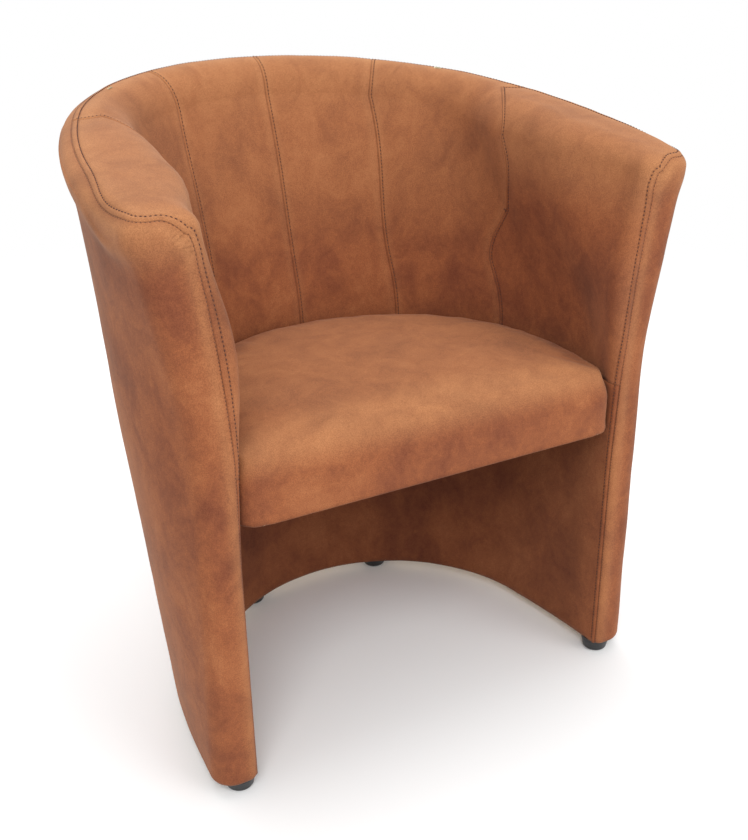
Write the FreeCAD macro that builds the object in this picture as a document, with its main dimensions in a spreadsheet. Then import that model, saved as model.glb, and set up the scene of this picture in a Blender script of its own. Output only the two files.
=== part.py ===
import FreeCAD, Part
import Sketcher
import math
import os
import re
from FreeCAD import Placement, Rotation, Vector

# An upholstered tub chair: a horseshoe wall that leans out above the seat, a box seat inside it
# and four glides under it.
# Millimetres, +Z up, +Y to the rear, origin on the floor at the middle of the chair's footprint.

doc = FreeCAD.newDocument("cocktail_chair")
sheet = doc.addObject("Spreadsheet::Sheet", "sizes")

drivingSizes = [
    # overall
    ("overall_depth", 532, "front seams to the rear of the rim"),
    ("back_height", 790, "floor to the rim's plane at the rear"),
    ("arm_height", 691, "floor to the rim's plane at the arm fronts"),
    ("waist_height", 460, "floor to the line where the wall starts to lean out"),
    ("waist_inset", 70, "rear of the waist, in front of the rear of the rim"),
    ("base_inset", 101, "rear of the lower edge, in front of the rear of the rim"),
    # plan of the wall at its lower edge, its waist and its rim
    ("base_back_radius", 299, "outer face, rear arc"),
    ("base_side_radius", 1379, "outer face, side arcs"),
    ("base_turn", 82, "half the angle of the rear arc"),
    ("base_inner_back_radius", 242, "inner face, rear arc"),
    ("base_inner_side_radius", 1300, "inner face, side arcs"),
    ("base_inner_turn", 80, "half the angle of the inner rear arc"),
    ("waist_back_radius", 334, "outer face, rear arc"),
    ("waist_side_radius", 268, "outer face, side arcs"),
    ("waist_turn", 80, "half the angle of the rear arc"),
    ("waist_inner_back_radius", 266, "inner face, rear arc"),
    ("waist_inner_side_radius", 400, "inner face, side arcs"),
    ("waist_inner_turn", 82, "half the angle of the inner rear arc"),
    ("rim_back_radius", 334, "outer face, rear arc"),
    ("rim_side_radius", 594, "outer face, side arcs"),
    ("rim_turn", 70, "half the angle of the rear arc"),
    ("rim_inner_back_radius", 276, "inner face, rear arc"),
    ("rim_inner_side_radius", 450, "inner face, side arcs"),
    ("rim_inner_turn", 70, "half the angle of the inner rear arc"),
    # rounding of the padded edges
    ("front_corner_radius", 28, "outer edge of the arm fronts"),
    ("inner_corner_radius", 12, "inner edge of the arm fronts"),
    ("roll_height", 16, "height of the padded roll on the rim"),
    ("outer_roll_width", 16, "width of the roll on the outer side of the rim"),
    ("inner_roll_width", 26, "width of the roll on the inner side of the rim"),
    # layers of the wall
    ("cover", 1.5, "upholstery fabric"),
    ("soft_gap", 0.3, "room beside each soft layer"),
    ("wadding", 6, "padding under the outer cover"),
    ("board", 3, "hardboard skins of the frame"),
    ("quilt", 8, "sewn channel panels, fabric with its backing"),
    ("back_foam", 15, "foam behind the channel panels"),
    ("front_foam", 12, "foam on the arm fronts"),
    ("waist_hard_side_radius", 300, "foam side of the inner hardboard at the waist"),
    ("rim_hard_side_radius", 500, "foam side of the inner hardboard at the rim"),
    ("seam_inset", 6, "main seam, in from the outer face"),
    ("panel_foot_height", 414, "floor to the lower edge of the channel panels"),
    ("inner_seam_angle", 31.2, "second channel seams, either side"),
    ("outer_seam_foot_angle", 60, "third channel seams at the seat"),
    ("outer_seam_top_angle", 69, "third channel seams at the rim"),
    ("arm_end_angle", 159, "past the arm fronts, from the middle"),
    ("channel_width", 7, "valley along a channel seam"),
    ("channel_depth", 2.5, "valley along a channel seam"),
    # timber frame
    ("ply", 18, "plywood rings, rail and front boards"),
    ("seat_ring_top", 413, "floor to the top of the ring behind the seat"),
    ("post_width", 45, "upright posts"),
    ("side_post_angle", 84, "posts at the sides, from the rear"),
    ("rear_post_angle", 30, "posts at the rear, from the middle"),
    # seat
    ("seat_bottom", 350, "floor to the underside of the seat"),
    ("seat_edge_height", 64, "straight side of the seat"),
    ("seat_roll_height", 30, "rounded upper edge of the seat"),
    ("seat_side_roll", 16, "rounded upper edge, along the sides and rear"),
    ("seat_front_roll", 34, "rounded upper edge, along the front"),
    ("seat_corner_radius", 30, "front corners of the seat in plan"),
    ("seat_crown_top", 452, "floor to the top of the seat's crown"),
    ("seat_crown_rise", 60, "half height of the ellipsoid that crowns the seat"),
    ("seat_crown_half_width", 490, "half width of that ellipsoid"),
    ("seat_crown_half_depth", 335, "half depth of that ellipsoid"),
    ("seat_clearance", 1.5, "between the seat and the wall"),
    ("seat_front_inset", 2, "seat front, behind the arm fronts"),
    ("rail_height", 45, "seat rails"),
    ("rail_width", 28, "seat rails"),
    ("hem_width", 24, "seat cover turned under the rails"),
    ("felt", 3, "felt over the springs"),
    ("dust_cloth", 1, "cloth under the seat"),
    # springs and their clips
    ("spring_count", 4, "zigzag springs, front to rear"),
    ("spring_spacing", 98, "between neighbouring springs"),
    ("spring_wire", 3.6, "wire diameter"),
    ("spring_wire_sides", 8, "flats that stand for the round of the wire"),
    ("spring_pitch", 34, "between the cross wires of one spring"),
    ("spring_cross", 22, "straight part of a cross wire"),
    ("clip_width", 14, "clip along the wire"),
    ("clip_steel", 1.2, "clip sheet"),
    ("clip_tab", 8, "clip tab nailed to the rail"),
    ("wire_fit", 0.1, "room between the wire and its clip"),
    # seat bolts
    ("bolt_radius", 4, "shank of the seat bolts"),
    ("bolt_hole_radius", 4.3, "holes for the seat bolts"),
    ("bolt_head_width", 13, "hexagon head, across flats"),
    ("bolt_head_height", 5.3, "hexagon head"),
    ("washer_radius", 12, "washer under the head"),
    ("washer_thickness", 1.6, "washer under the head"),
    ("bolt_height", 374, "floor to the bolt axis"),
    ("nut_flange_radius", 9, "flange of the tee nut on the rail"),
    ("nut_flange", 1.5, "flange thickness"),
    ("nut_barrel", 10, "barrel length in the rail"),
    ("nut_barrel_radius", 5.2, "barrel radius"),
    # glides
    ("glide_height", 19, "floor to the lower edge of the wall"),
    ("glide_radius", 19, "plastic glides"),
    ("glide_foot_radius", 17, "face on the floor"),
    ("glide_edge_radius", 5, "rounding at the floor"),
    ("glide_collar_height", 5, "straight collar under the wall"),
    ("glide_front_inset", 24, "front glides, behind the arm fronts"),
    ("glide_front_spread", 548, "between the front glides"),
    ("glide_rear_angle", 23.5, "rear glides, from the middle"),
    ("glide_screw_radius", 2.25, "wood screw through a glide"),
    ("glide_screw_length", 26, "wood screw under its head"),
    ("screw_head_radius", 4.5, "wood screw head"),
    ("screw_head_height", 3, "wood screw head"),
    ("screw_recess", 6, "screw head, above the floor"),
    ("screw_fit", 0.2, "room around the screws"),
    # how far a cutting shape runs past what it cuts
    ("overrun", 40, "reach of cutting shapes past the piece"),
]
for row, (alias, value, note) in enumerate(drivingSizes, 1):
    sheet.set(f"A{row}", note)
    sheet.set(f"B{row}", str(value))
    sheet.setAlias(f"B{row}", alias)
doc.recompute()

aliases = {alias for alias, value, note in drivingSizes}


def bound(expression):
    """The expression with each size's name written as a cell of the sheet."""

    def cell(match):
        word = match.group()
        return f"sizes.{word}" if word in aliases else word

    return re.sub(r"[a-z_]+", cell, expression)


def number(expression):
    """What an expression in the names of sizes comes to."""
    result = sheet.evalExpression(bound(expression))
    return float(getattr(result, "Value", result))


def bind(item, prop, expression):
    item.setExpression(prop, bound(expression))


# Depths of the layers under the finished faces, and the planes that the wall's outlines are drawn on

underCover = "(cover + soft_gap)"
waddingBack = "(cover + soft_gap + wadding)"
boardFace = "(cover + 2 * soft_gap + wadding)"
frameFace = "(cover + 2 * soft_gap + wadding + board)"
underQuilt = "(quilt + soft_gap)"
foamBack = "(quilt + soft_gap + back_foam)"
hardFace = "(quilt + 2 * soft_gap + back_foam)"
liningBoardFace = "(cover + soft_gap)"
liningBoardBack = "(cover + soft_gap + board)"
endFoamBack = "(cover + soft_gap + front_foam)"
endBoardFace = "(cover + 2 * soft_gap + front_foam)"
front = "(0 - overall_depth / 2)"
rear = "(overall_depth / 2)"
rimTilt = "atan((back_height - arm_height) / overall_depth)"
shoulderHeight = f"(back_height - roll_height / cos({rimTilt}))"
ringBottom = "(seat_ring_top - ply)"
frameBottom = f"(glide_height + {underCover})"

rollAngles = [30, 60, 90]
flareSetShare = 0.9
flareReachShare = 0.08

wallSizes = ["back_radius", "side_radius", "turn", "inner_back_radius", "inner_side_radius", "inner_turn"]


def namedLevel(name, height, tilt, rearPlace):
    level = {key: f"{name}_{key}" for key in wallSizes}
    level.update(height=height, tilt=tilt, rear=rearPlace)
    return level


base = namedLevel("base", "glide_height", "0", f"({rear} - base_inset)")
waist = namedLevel("waist", "waist_height", "0", f"({rear} - waist_inset)")
shoulder = namedLevel("rim", shoulderHeight, rimTilt, rear)
for level, name in ((waist, "waist"), (shoulder, "rim")):
    level["hard_back_radius"] = f"({name}_inner_back_radius + {hardFace})"
    level["hard_side_radius"] = f"{name}_hard_side_radius"


def levelAt(height):
    """Outline sizes between the lower edge and the waist; the long side arcs go over by their curvature."""
    share = f"(({height} - glide_height) / (waist_height - glide_height))"
    level = {key: f"(base_{key} + (waist_{key} - base_{key}) * {share})" for key in wallSizes}
    for key in ("side_radius", "inner_side_radius"):
        level[key] = f"(1 / ((1 - {share}) / base_{key} + {share} / waist_{key}))"
    inset = f"(base_inset + (waist_inset - base_inset) * {share})"
    level.update(height=height, tilt="0", rear=f"({rear} - {inset})")
    return level


# Outlines


def arc(centreX, centreY, radius, startAngle, endAngle):
    circle = Part.Circle(Vector(centreX, centreY, 0), Vector(0, 0, 1), radius)
    return Part.ArcOfCircle(circle, startAngle, endAngle)


def outline(name, level, back, side, turn, frontDepth, corner=None, cornerSet=None, lift="0"):
    """A closed D outline on a level: rear arc, tangent side arcs and a straight front.
    corner rounds the front corners; cornerSet turns them outwards, with their centres that far back."""
    sketch = doc.addObject("Sketcher::SketchObject", name)
    sketch.Placement = Placement(Vector(0, 0, 0), Rotation(Vector(1, 0, 0), 1))
    bind(sketch, "Placement.Rotation.Angle", level["tilt"])
    bind(sketch, "Placement.Base.y", f"{level['rear']} - ({lift}) * sin({level['tilt']})")
    bind(sketch, "Placement.Base.z", f"{level['height']} + ({lift}) * cos({level['tilt']})")

    toFront = f"(({front} - {level['rear']} + {frontDepth}) / cos({level['tilt']}))"
    centreBack = number(level["back_radius"])
    backRadius, sideRadius, half = number(back), number(side), math.radians(number(turn))
    frontLine = number(toFront)
    sideX = (backRadius - sideRadius) * math.sin(half)
    sideY = -centreBack + (backRadius - sideRadius) * math.cos(half)
    quarter = math.pi / 2

    if corner is None:
        edgeX = sideX + math.sqrt(sideRadius**2 - (frontLine - sideY) ** 2)
        frontAngle = math.atan2(frontLine - sideY, edgeX - sideX)
        corners = []
    else:
        outward = cornerSet is not None
        cornerRadius = number(corner)
        cornerY = frontLine + (number(cornerSet) if outward else cornerRadius)
        reach = sideRadius + cornerRadius if outward else sideRadius - cornerRadius
        cornerX = sideX + math.sqrt(reach**2 - (cornerY - sideY) ** 2)
        frontAngle = math.atan2(cornerY - sideY, cornerX - sideX)
        if outward:
            edgeX = cornerX - math.sqrt(cornerRadius**2 - (frontLine - cornerY) ** 2)
            touch = frontAngle + math.pi
            lowAngle = math.atan2(frontLine - cornerY, edgeX - cornerX) % (2 * math.pi)
            corners = [
                arc(-cornerX, cornerY, cornerRadius, math.pi - lowAngle, -frontAngle),
                arc(cornerX, cornerY, cornerRadius, touch, lowAngle),
            ]
        else:
            edgeX = cornerX
            corners = [
                arc(-cornerX, cornerY, cornerRadius, math.pi - frontAngle, 3 * quarter),
                arc(cornerX, cornerY, cornerRadius, -quarter, frontAngle),
            ]

    geometry = [
        arc(0, -centreBack, backRadius, quarter - half, quarter + half),
        arc(-sideX, sideY, sideRadius, quarter + half, math.pi - frontAngle),
        arc(sideX, sideY, sideRadius, frontAngle, quarter - half),
        Part.LineSegment(Vector(-edgeX, frontLine, 0), Vector(edgeX, frontLine, 0)),
        *corners,
    ]
    sketch.addGeometry(geometry, False)

    named = {}

    def constrain(kind, *places, expression=None):
        numbered = list(places) if expression is None else list(places) + [number(expression)]
        if kind == "Angle" and expression is not None:
            numbered[-1] = math.radians(numbered[-1])
        index = sketch.addConstraint(Sketcher.Constraint(kind, *numbered))
        if expression is not None:
            named[index] = expression

    constrain("PointOnObject", 0, 3, -2)
    constrain("DistanceY", 0, 3, -1, 1, expression=level["back_radius"])
    constrain("Radius", 0, expression=back)
    constrain("Angle", 0, expression=f"2 * ({turn})")
    constrain("Horizontal", 0, 1, 0, 2)
    constrain("Tangent", 0, 2, 1, 1)
    constrain("Tangent", 0, 1, 2, 2)
    constrain("Radius", 1, expression=side)
    constrain("Equal", 1, 2)
    constrain("Horizontal", 3)
    constrain("DistanceY", 3, 1, -1, 1, expression=f"0 - {toFront}")
    if corner is None:
        constrain("Coincident", 1, 2, 3, 1)
        constrain("Coincident", 2, 1, 3, 2)
    else:
        constrain("Radius", 4, expression=corner)
        constrain("Equal", 4, 5)
        if outward:
            constrain("Tangent", 1, 2, 4, 2)
            constrain("Tangent", 2, 1, 5, 1)
            constrain("Coincident", 4, 1, 3, 1)
            constrain("Coincident", 5, 2, 3, 2)
            constrain("DistanceY", 3, 1, 4, 3, expression=cornerSet)
            constrain("DistanceY", 3, 2, 5, 3, expression=cornerSet)
        else:
            constrain("Tangent", 1, 2, 4, 1)
            constrain("Tangent", 2, 1, 5, 2)
            constrain("Tangent", 4, 2, 3, 1)
            constrain("Tangent", 5, 1, 3, 2)
    for index, expression in named.items():
        bind(sketch, f"Constraints[{index}]", expression)
    return sketch


# Forms between the outlines


def loft(name, sections):
    item = doc.addObject("Part::Loft", name)
    item.Sections = sections
    item.Solid = True
    item.Ruled = True
    return item


def cut(name, whole, tool):
    item = doc.addObject("Part::Cut", name)
    item.Base = whole
    item.Tool = tool
    return item


def common(name, *shapes):
    item = doc.addObject("Part::MultiCommon", name)
    item.Shapes = list(shapes)
    return item


def fuse(name, *shapes):
    item = doc.addObject("Part::MultiFuse", name)
    item.Shapes = list(shapes)
    return item


def outerOutline(name, level, depth, extra="0", lift="0"):
    """The wall's outer face, drawn in by depth, and by extra more on the roll of the rim."""
    inward = f"{depth} + {extra}"
    back = f"{level['back_radius']} - ({inward})"
    side = f"{level['side_radius']} - ({inward})"
    corner = f"front_corner_radius - ({inward})"
    return outline(name, level, back, side, level["turn"], inward, corner, lift=lift)


def innerOutline(name, level, depth, extra="0", frontExtra="0", lift="0"):
    """The sitter's side of the wall, moved into the wall by depth, by extra more on the rim's roll."""
    outward = f"{depth} + {extra}"
    back = f"{level['inner_back_radius']} + {outward}"
    side = f"{level['inner_side_radius']} + {outward}"
    corner = f"(inner_corner_radius - ({depth}))"
    frontDepth = f"({depth} + {frontExtra} - {flareReachShare} * {corner})"
    cornerSet = f"({flareSetShare} + {flareReachShare}) * {corner}"
    return outline(name, level, back, side, level["inner_turn"], frontDepth, corner, cornerSet, lift)


def plainInnerOutline(name, level, back, side, lift="0"):
    """The same side without its rounded front edges, run out past the front."""
    return outline(name, level, back, side, level["inner_turn"], "(0 - overrun)", lift=lift)


def rollExtra(width, depth, angle):
    return f"({width} - ({depth})) * (1 - cos({angle}))"


def rollLift(depth, angle):
    return f"(roll_height - ({depth})) * sin({angle})"


def rolledOuter(name, depth):
    """The whole plan inside the outer face at a depth, from its lower edge to the rolled rim."""
    sections = [
        outerOutline(f"{name}_base", base, depth, lift=depth),
        outerOutline(f"{name}_waist", waist, depth),
        outerOutline(f"{name}_shoulder", shoulder, depth),
    ]
    for angle in rollAngles:
        extra = rollExtra("outer_roll_width", depth, angle)
        sections.append(outerOutline(f"{name}_roll_{angle}", shoulder, depth, extra, rollLift(depth, angle)))
    return loft(name, sections)


def rolledInner(name, depth):
    """The sitter's space at a depth, open downwards and upwards, wider over the rolled rim."""
    sections = [
        innerOutline(f"{name}_below", base, depth, lift="(0 - overrun)"),
        innerOutline(f"{name}_base", base, depth),
        innerOutline(f"{name}_waist", waist, depth),
        innerOutline(f"{name}_shoulder", shoulder, depth),
    ]
    for angle in rollAngles:
        extra = rollExtra("inner_roll_width", depth, angle)
        frontExtra = rollExtra("outer_roll_width", depth, angle)
        lift = rollLift(depth, angle)
        sections.append(innerOutline(f"{name}_roll_{angle}", shoulder, depth, extra, frontExtra, lift))
    sections.append(innerOutline(f"{name}_above", shoulder, depth, extra, frontExtra, f"{lift} + overrun"))
    return loft(name, sections)


def paddedWall(name, depth):
    return cut(name, rolledOuter(f"{name}_outer", depth), rolledInner(f"{name}_inner", depth))


def straightOuter(name, depth):
    """The plan inside the outer face at a depth, run up past the rim with no roll."""
    sections = [
        outerOutline(f"{name}_below", base, depth, lift="(0 - overrun)"),
        outerOutline(f"{name}_base", base, depth),
        outerOutline(f"{name}_waist", waist, depth),
        outerOutline(f"{name}_shoulder", shoulder, depth),
        outerOutline(f"{name}_above", shoulder, depth, lift="overrun"),
    ]
    return loft(name, sections)


def plainInner(name, depth, places):
    """The sitter's space at a depth, run out past the front; places are levels, lifts and extra widths."""
    sections = []
    for index, (level, lift, extra) in enumerate(places):
        back = f"{level['inner_back_radius']} + {depth} + {extra}"
        side = f"{level['inner_side_radius']} + {depth} + {extra}"
        sections.append(plainInnerOutline(f"{name}_{index}", level, back, side, lift))
    return loft(name, sections)


innerPlaces = [(base, "(0 - overrun)", "0"), (base, "0", "0"), (waist, "0", "0"), (shoulder, "0", "0")]


def straightInner(name, depth):
    return plainInner(name, depth, [*innerPlaces, (shoulder, "overrun", "0")])


def rolledPlainInner(name, depth):
    """The same space with no front edges, wider over the rolled rim."""
    rolls = []
    for angle in rollAngles:
        rolls.append((shoulder, rollLift(depth, angle), rollExtra("inner_roll_width", depth, angle)))
    level, lift, extra = rolls[-1]
    return plainInner(name, depth, [*innerPlaces, *rolls, (level, f"{lift} + overrun", extra)])


def hardInner(name, depth):
    """The space inside the foam side of the upper inner board, and its offsets."""
    toRing = "(0 - (waist_height - seat_ring_top + overrun))"
    places = [(waist, toRing), (waist, "0"), (shoulder, "0"), (shoulder, "overrun")]
    sections = []
    for index, (level, lift) in enumerate(places):
        back = f"{level['hard_back_radius']} + {depth}"
        side = f"{level['hard_side_radius']} + {depth}"
        sections.append(plainInnerOutline(f"{name}_{index}", level, back, side, lift))
    return loft(name, sections)


def block(name, xLow, xHigh, yLow, yHigh, zLow, zHigh):
    item = doc.addObject("Part::Box", name)
    bind(item, "Length", f"{xHigh} - ({xLow})")
    bind(item, "Width", f"{yHigh} - ({yLow})")
    bind(item, "Height", f"{zHigh} - ({zLow})")
    bind(item, "Placement.Base.x", xLow)
    bind(item, "Placement.Base.y", yLow)
    bind(item, "Placement.Base.z", zLow)
    return item


def slab(name, zLow, zHigh, yLow="(0 - overall_depth)"):
    return block(name, "(0 - overall_depth)", "overall_depth", yLow, "overall_depth", zLow, zHigh)


def rimSlab(name, low, high):
    """The space between two planes parallel to the rim, measured up from the rim's shoulder."""
    item = doc.addObject("Part::Box", name)
    item.Placement = Placement(Vector(0, 0, 0), Rotation(Vector(1, 0, 0), 1))
    bind(item, "Length", "2 * overall_depth")
    bind(item, "Width", "3 * overall_depth")
    bind(item, "Height", f"{high} - ({low})")
    bind(item, "Placement.Rotation.Angle", rimTilt)
    bind(item, "Placement.Base.x", "0 - overall_depth")
    bind(item, "Placement.Base.y", f"{rear} - 2 * overall_depth * cos({rimTilt}) - ({low}) * sin({rimTilt})")
    lowEdge = f"{shoulderHeight} - 2 * overall_depth * sin({rimTilt})"
    bind(item, "Placement.Base.z", f"{lowEdge} + ({low}) * cos({rimTilt})")
    return item


# Nodes: the finished pieces, each under the name of its file

nodes = []


def node(name, item):
    item.Label = name
    nodes.append(item)
    return item


chairHalves = (("left", "(0 - overall_depth)", "0"), ("right", "0", "overall_depth"))
behindEndFoam = f"({front} + {endBoardFace})"
behindFrontBoard = f"({front} + {endBoardFace} + ply)"
deep = "(0 - 2 * back_height)"


def makeFrame():
    """Plywood rings, rail, front boards and posts inside the wall, with hardboard on both sides."""
    frameOuter = straightOuter("frame_outer", frameFace)
    lowerWall = cut("lower_wall", frameOuter, straightInner("lower_frame_inner", liningBoardBack))
    upperWall = cut("upper_wall", frameOuter, hardInner("upper_frame_inner", "board"))
    lowerZone = slab("lower_zone", frameBottom, "seat_ring_top", behindEndFoam)
    upperZone = slab("upper_zone", "seat_ring_top", "back_height", behindEndFoam)
    underShoulder = rimSlab("under_shoulder", deep, "0")
    lowerCore = common("lower_core", lowerWall, lowerZone)
    upperCore = common("upper_core", upperWall, upperZone, underShoulder)

    baseRing = common("base_ring_blank", lowerCore, slab("base_slab", frameBottom, f"{frameBottom} + ply"))
    node("base_ring", cut("base_ring_shape", baseRing, screwHoles("ring_screw_holes")))
    ringSlab = slab("ring_slab", ringBottom, "seat_ring_top", behindFrontBoard)
    node("seat_ring", common("seat_ring_shape", lowerCore, ringSlab))
    node("top_rail", common("top_rail_shape", upperCore, rimSlab("rail_slab", "(0 - ply)", "0")))

    underRail = rimSlab("under_rail", deep, "(0 - ply)")
    core = fuse("core", lowerCore, upperCore)
    onBase = f"{frameBottom} + ply"
    boardDepths = (behindEndFoam, behindFrontBoard)
    for side, xLow, xHigh in chairHalves:
        zone = block(f"front_zone_{side}", xLow, xHigh, *boardDepths, onBase, "back_height")
        node(f"front_board_{side}", common(f"front_board_{side}_shape", core, zone, underRail))

    posts = (
        ("side_post_left", "0 - side_post_angle"),
        ("side_post_right", "side_post_angle"),
        ("rear_post_left", "0 - rear_post_angle"),
        ("rear_post_right", "rear_post_angle"),
    )
    lowerSpan = slab("lower_span", f"{frameBottom} + ply", ringBottom)
    postHoles = fuse("post_holes", boltHoles("post_bolt_holes"), headHoles("post_head_holes"))
    drilledCore = cut("drilled_core", lowerCore, postHoles)
    for name, angle in posts:
        reach = radialBox(f"{name}_reach", angle)
        node(f"lower_{name}", common(f"lower_{name}_shape", drilledCore, lowerSpan, reach))
        node(f"upper_{name}", common(f"upper_{name}_shape", upperCore, underRail, reach))

    outerBoards = cut("outer_boards", straightOuter("board_outer", boardFace), frameOuter)
    lowerSkin = slab("lower_skin", frameBottom, "waist_height", behindEndFoam)
    upperSkin = slab("upper_skin", "waist_height", "back_height", behindEndFoam)
    node("lower_outer_board", common("lower_outer_board_shape", outerBoards, lowerSkin))
    node("upper_outer_board", common("upper_outer_board_shape", outerBoards, upperSkin, underShoulder))

    lowerBoard = cut(
        "lower_board",
        straightInner("lower_board_back", liningBoardBack),
        straightInner("lower_board_face", liningBoardFace),
    )
    innerBoard = common("lower_inner_board_blank", lowerBoard, lowerZone)
    node("lower_inner_board", cut("lower_inner_board_shape", innerBoard, boltHoles("board_bolt_holes")))
    boardBack = hardInner("upper_board_back", "board")
    upperBoard = cut("upper_board", boardBack, hardInner("upper_board_face", "0"))
    node("upper_inner_board", common("upper_inner_board_shape", upperBoard, upperZone, underShoulder))


def radialBox(name, angle):
    """An upright box of a post's width, from the middle of the plan outwards."""
    item = doc.addObject("Part::Box", name)
    turn = number(angle)
    bind(item, "Length", "post_width")
    bind(item, "Width", "overall_depth")
    bind(item, "Height", "back_height")
    sideways = number("post_width / 2")
    direction = Rotation(Vector(0, 0, 1), -turn)
    centre = Vector(0, number("overall_depth / 2 - waist_inset - waist_back_radius"), 0)
    item.Placement = Placement(centre + direction.multVec(Vector(-sideways, 0, 0)), direction)
    return item


# Channel seams of the inner back, each as its angles from the middle at the seat and at the rim

channelSeams = [
    ("0 - outer_seam_foot_angle", "0 - outer_seam_top_angle"),
    ("0 - inner_seam_angle", "0 - inner_seam_angle"),
    ("0", "0"),
    ("inner_seam_angle", "inner_seam_angle"),
    ("outer_seam_foot_angle", "outer_seam_top_angle"),
]
armEnds = [("0 - arm_end_angle", "0 - arm_end_angle"), ("arm_end_angle", "arm_end_angle")]


def directions(angle):
    """Outward from the middle of the plan at an angle, and to its right."""
    turn = math.radians(number(angle))
    return Vector(math.sin(turn), math.cos(turn), 0), Vector(math.cos(turn), -math.sin(turn), 0)


def seamLine(seam, sideways, height):
    """A line of the plan beside a seam's plane at a height: a point by the middle and where it heads."""
    share = (height - number("waist_height")) / (number(shoulderHeight) - number("waist_height"))
    starts, outwards = [], []
    for level, angle in ((waist, seam[0]), (shoulder, seam[1])):
        outward, across = directions(angle)
        centreY = number(f"{level['rear']} - {level['back_radius']} * cos({level['tilt']})")
        starts.append(Vector(0, centreY, height) + across * sideways)
        outwards.append(outward)
    return starts[0] + (starts[1] - starts[0]) * share, outwards[0] + (outwards[1] - outwards[0]) * share


def sector(name, fromSeam, toSeam):
    """The upright space between two seams, half a gap inside each."""
    gap = number("soft_gap / 2")
    reach = number("2 * overall_depth")
    loops = []
    for height in (number("panel_foot_height - overrun"), number("back_height + overrun")):
        start, first = seamLine(fromSeam, gap, height)
        otherStart, last = seamLine(toSeam, -gap, height)
        offset = otherStart - start
        along = (offset.x * last.y - offset.y * last.x) / (first.x * last.y - first.y * last.x)
        apex = start + first * along
        corners = [apex, apex + first * reach, apex + (first + last) * reach, apex + last * reach, apex]
        loops.append(Part.makePolygon(corners))
    item = doc.addObject("Part::Feature", name)
    item.Shape = Part.makeLoft(loops, True, True)
    return item


def channelGroove(name, seam):
    """A wedge along one seam that leaves a shallow valley down the face of the channel panels."""
    widen = number("(channel_depth + quilt) / channel_depth * channel_width / 2")
    corners = []
    for level, angle in ((waist, seam[0]), (shoulder, seam[1])):
        outward, across = directions(angle)
        radius = number(level["inner_back_radius"])
        middle = Vector(0, -number(level["back_radius"]), 0)
        if abs(number(angle)) > number(level["inner_turn"]):
            sideRadius = number(level["inner_side_radius"])
            limit = directions(f"{math.copysign(1, number(angle))} * {level['inner_turn']}")[0]
            middle += limit * (radius - sideRadius)
            radius = sideRadius
        face = middle + outward * radius
        front = face - outward * number("quilt")
        tilted = Placement(Vector(0, number(level["rear"]), number(level["height"])), Rotation())
        tilted.Rotation = Rotation(Vector(1, 0, 0), number(level["tilt"]))
        points = [front - across * widen, face + outward * number("channel_depth"), front + across * widen]
        corners.append([tilted.multVec(point) for point in points])
    rise = corners[1][1].z - corners[0][1].z
    loops = []
    for share in (-number("overrun") / rise, 1 + number("overrun") / rise):
        points = [low + (high - low) * share for low, high in zip(*corners)]
        loops.append(Part.makePolygon([*points, points[0]]))
    item = doc.addObject("Part::Feature", name)
    item.Shape = Part.makeLoft(loops, True, True)
    return item


def behindPanels(name, depth):
    """What lies deeper than depth under the channel panels, and all beside them below the shoulder."""
    wide = straightOuter(f"{name}_outer", "(0 - overrun)")
    beside = common(f"{name}_beside", wide, rimSlab(f"{name}_rim", deep, "0"))
    whole = fuse(f"{name}_whole", rolledOuter(f"{name}_top", depth), beside)
    return cut(name, whole, rolledPlainInner(f"{name}_inner", depth))


def makeCovers(finished):
    """The outer cover, the lining below the seat and the six sewn channel panels that wrap over the rim."""
    coverSkin = cut("cover_skin", finished, paddedWall("wall_under_cover", "cover"))
    withinSeam = straightOuter("seam_side", "seam_inset")
    inside = straightOuter("panel_side", "(seam_inset + soft_gap)")

    node("outer_cover", cut("outer_cover_shape", coverSkin, withinSeam))
    liningSpan = slab("lining_span", "0", "(panel_foot_height - soft_gap)")
    lining = common("lining_blank", coverSkin, inside, liningSpan)
    liningHoles = fuse("lining_holes", boltHoles("lining_bolt_holes"), screwHoles("lining_screw_holes"))
    node("lower_lining", cut("lower_lining_shape", lining, liningHoles))

    panelSpan = slab("panel_span", "panel_foot_height", "back_height + overrun")
    quiltSkin = cut("quilt_skin", finished, behindPanels("behind_quilt", "quilt"))
    valleys = [channelGroove(f"groove_{index}", seam) for index, seam in enumerate(channelSeams)]
    quilts = cut("quilts", common("quilt_zone", quiltSkin, inside, panelSpan), fuse("grooves", *valleys))
    bounds = [armEnds[0], *channelSeams, armEnds[1]]
    names = ["left_arm", "left_side", "left_back", "right_back", "right_side", "right_arm"]
    for name, fromSeam, toSeam in zip(names, bounds, bounds[1:]):
        zone = sector(f"{name}_sector", fromSeam, toSeam)
        node(f"{name}_panel", common(f"{name}_panel_shape", quilts, zone))


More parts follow.
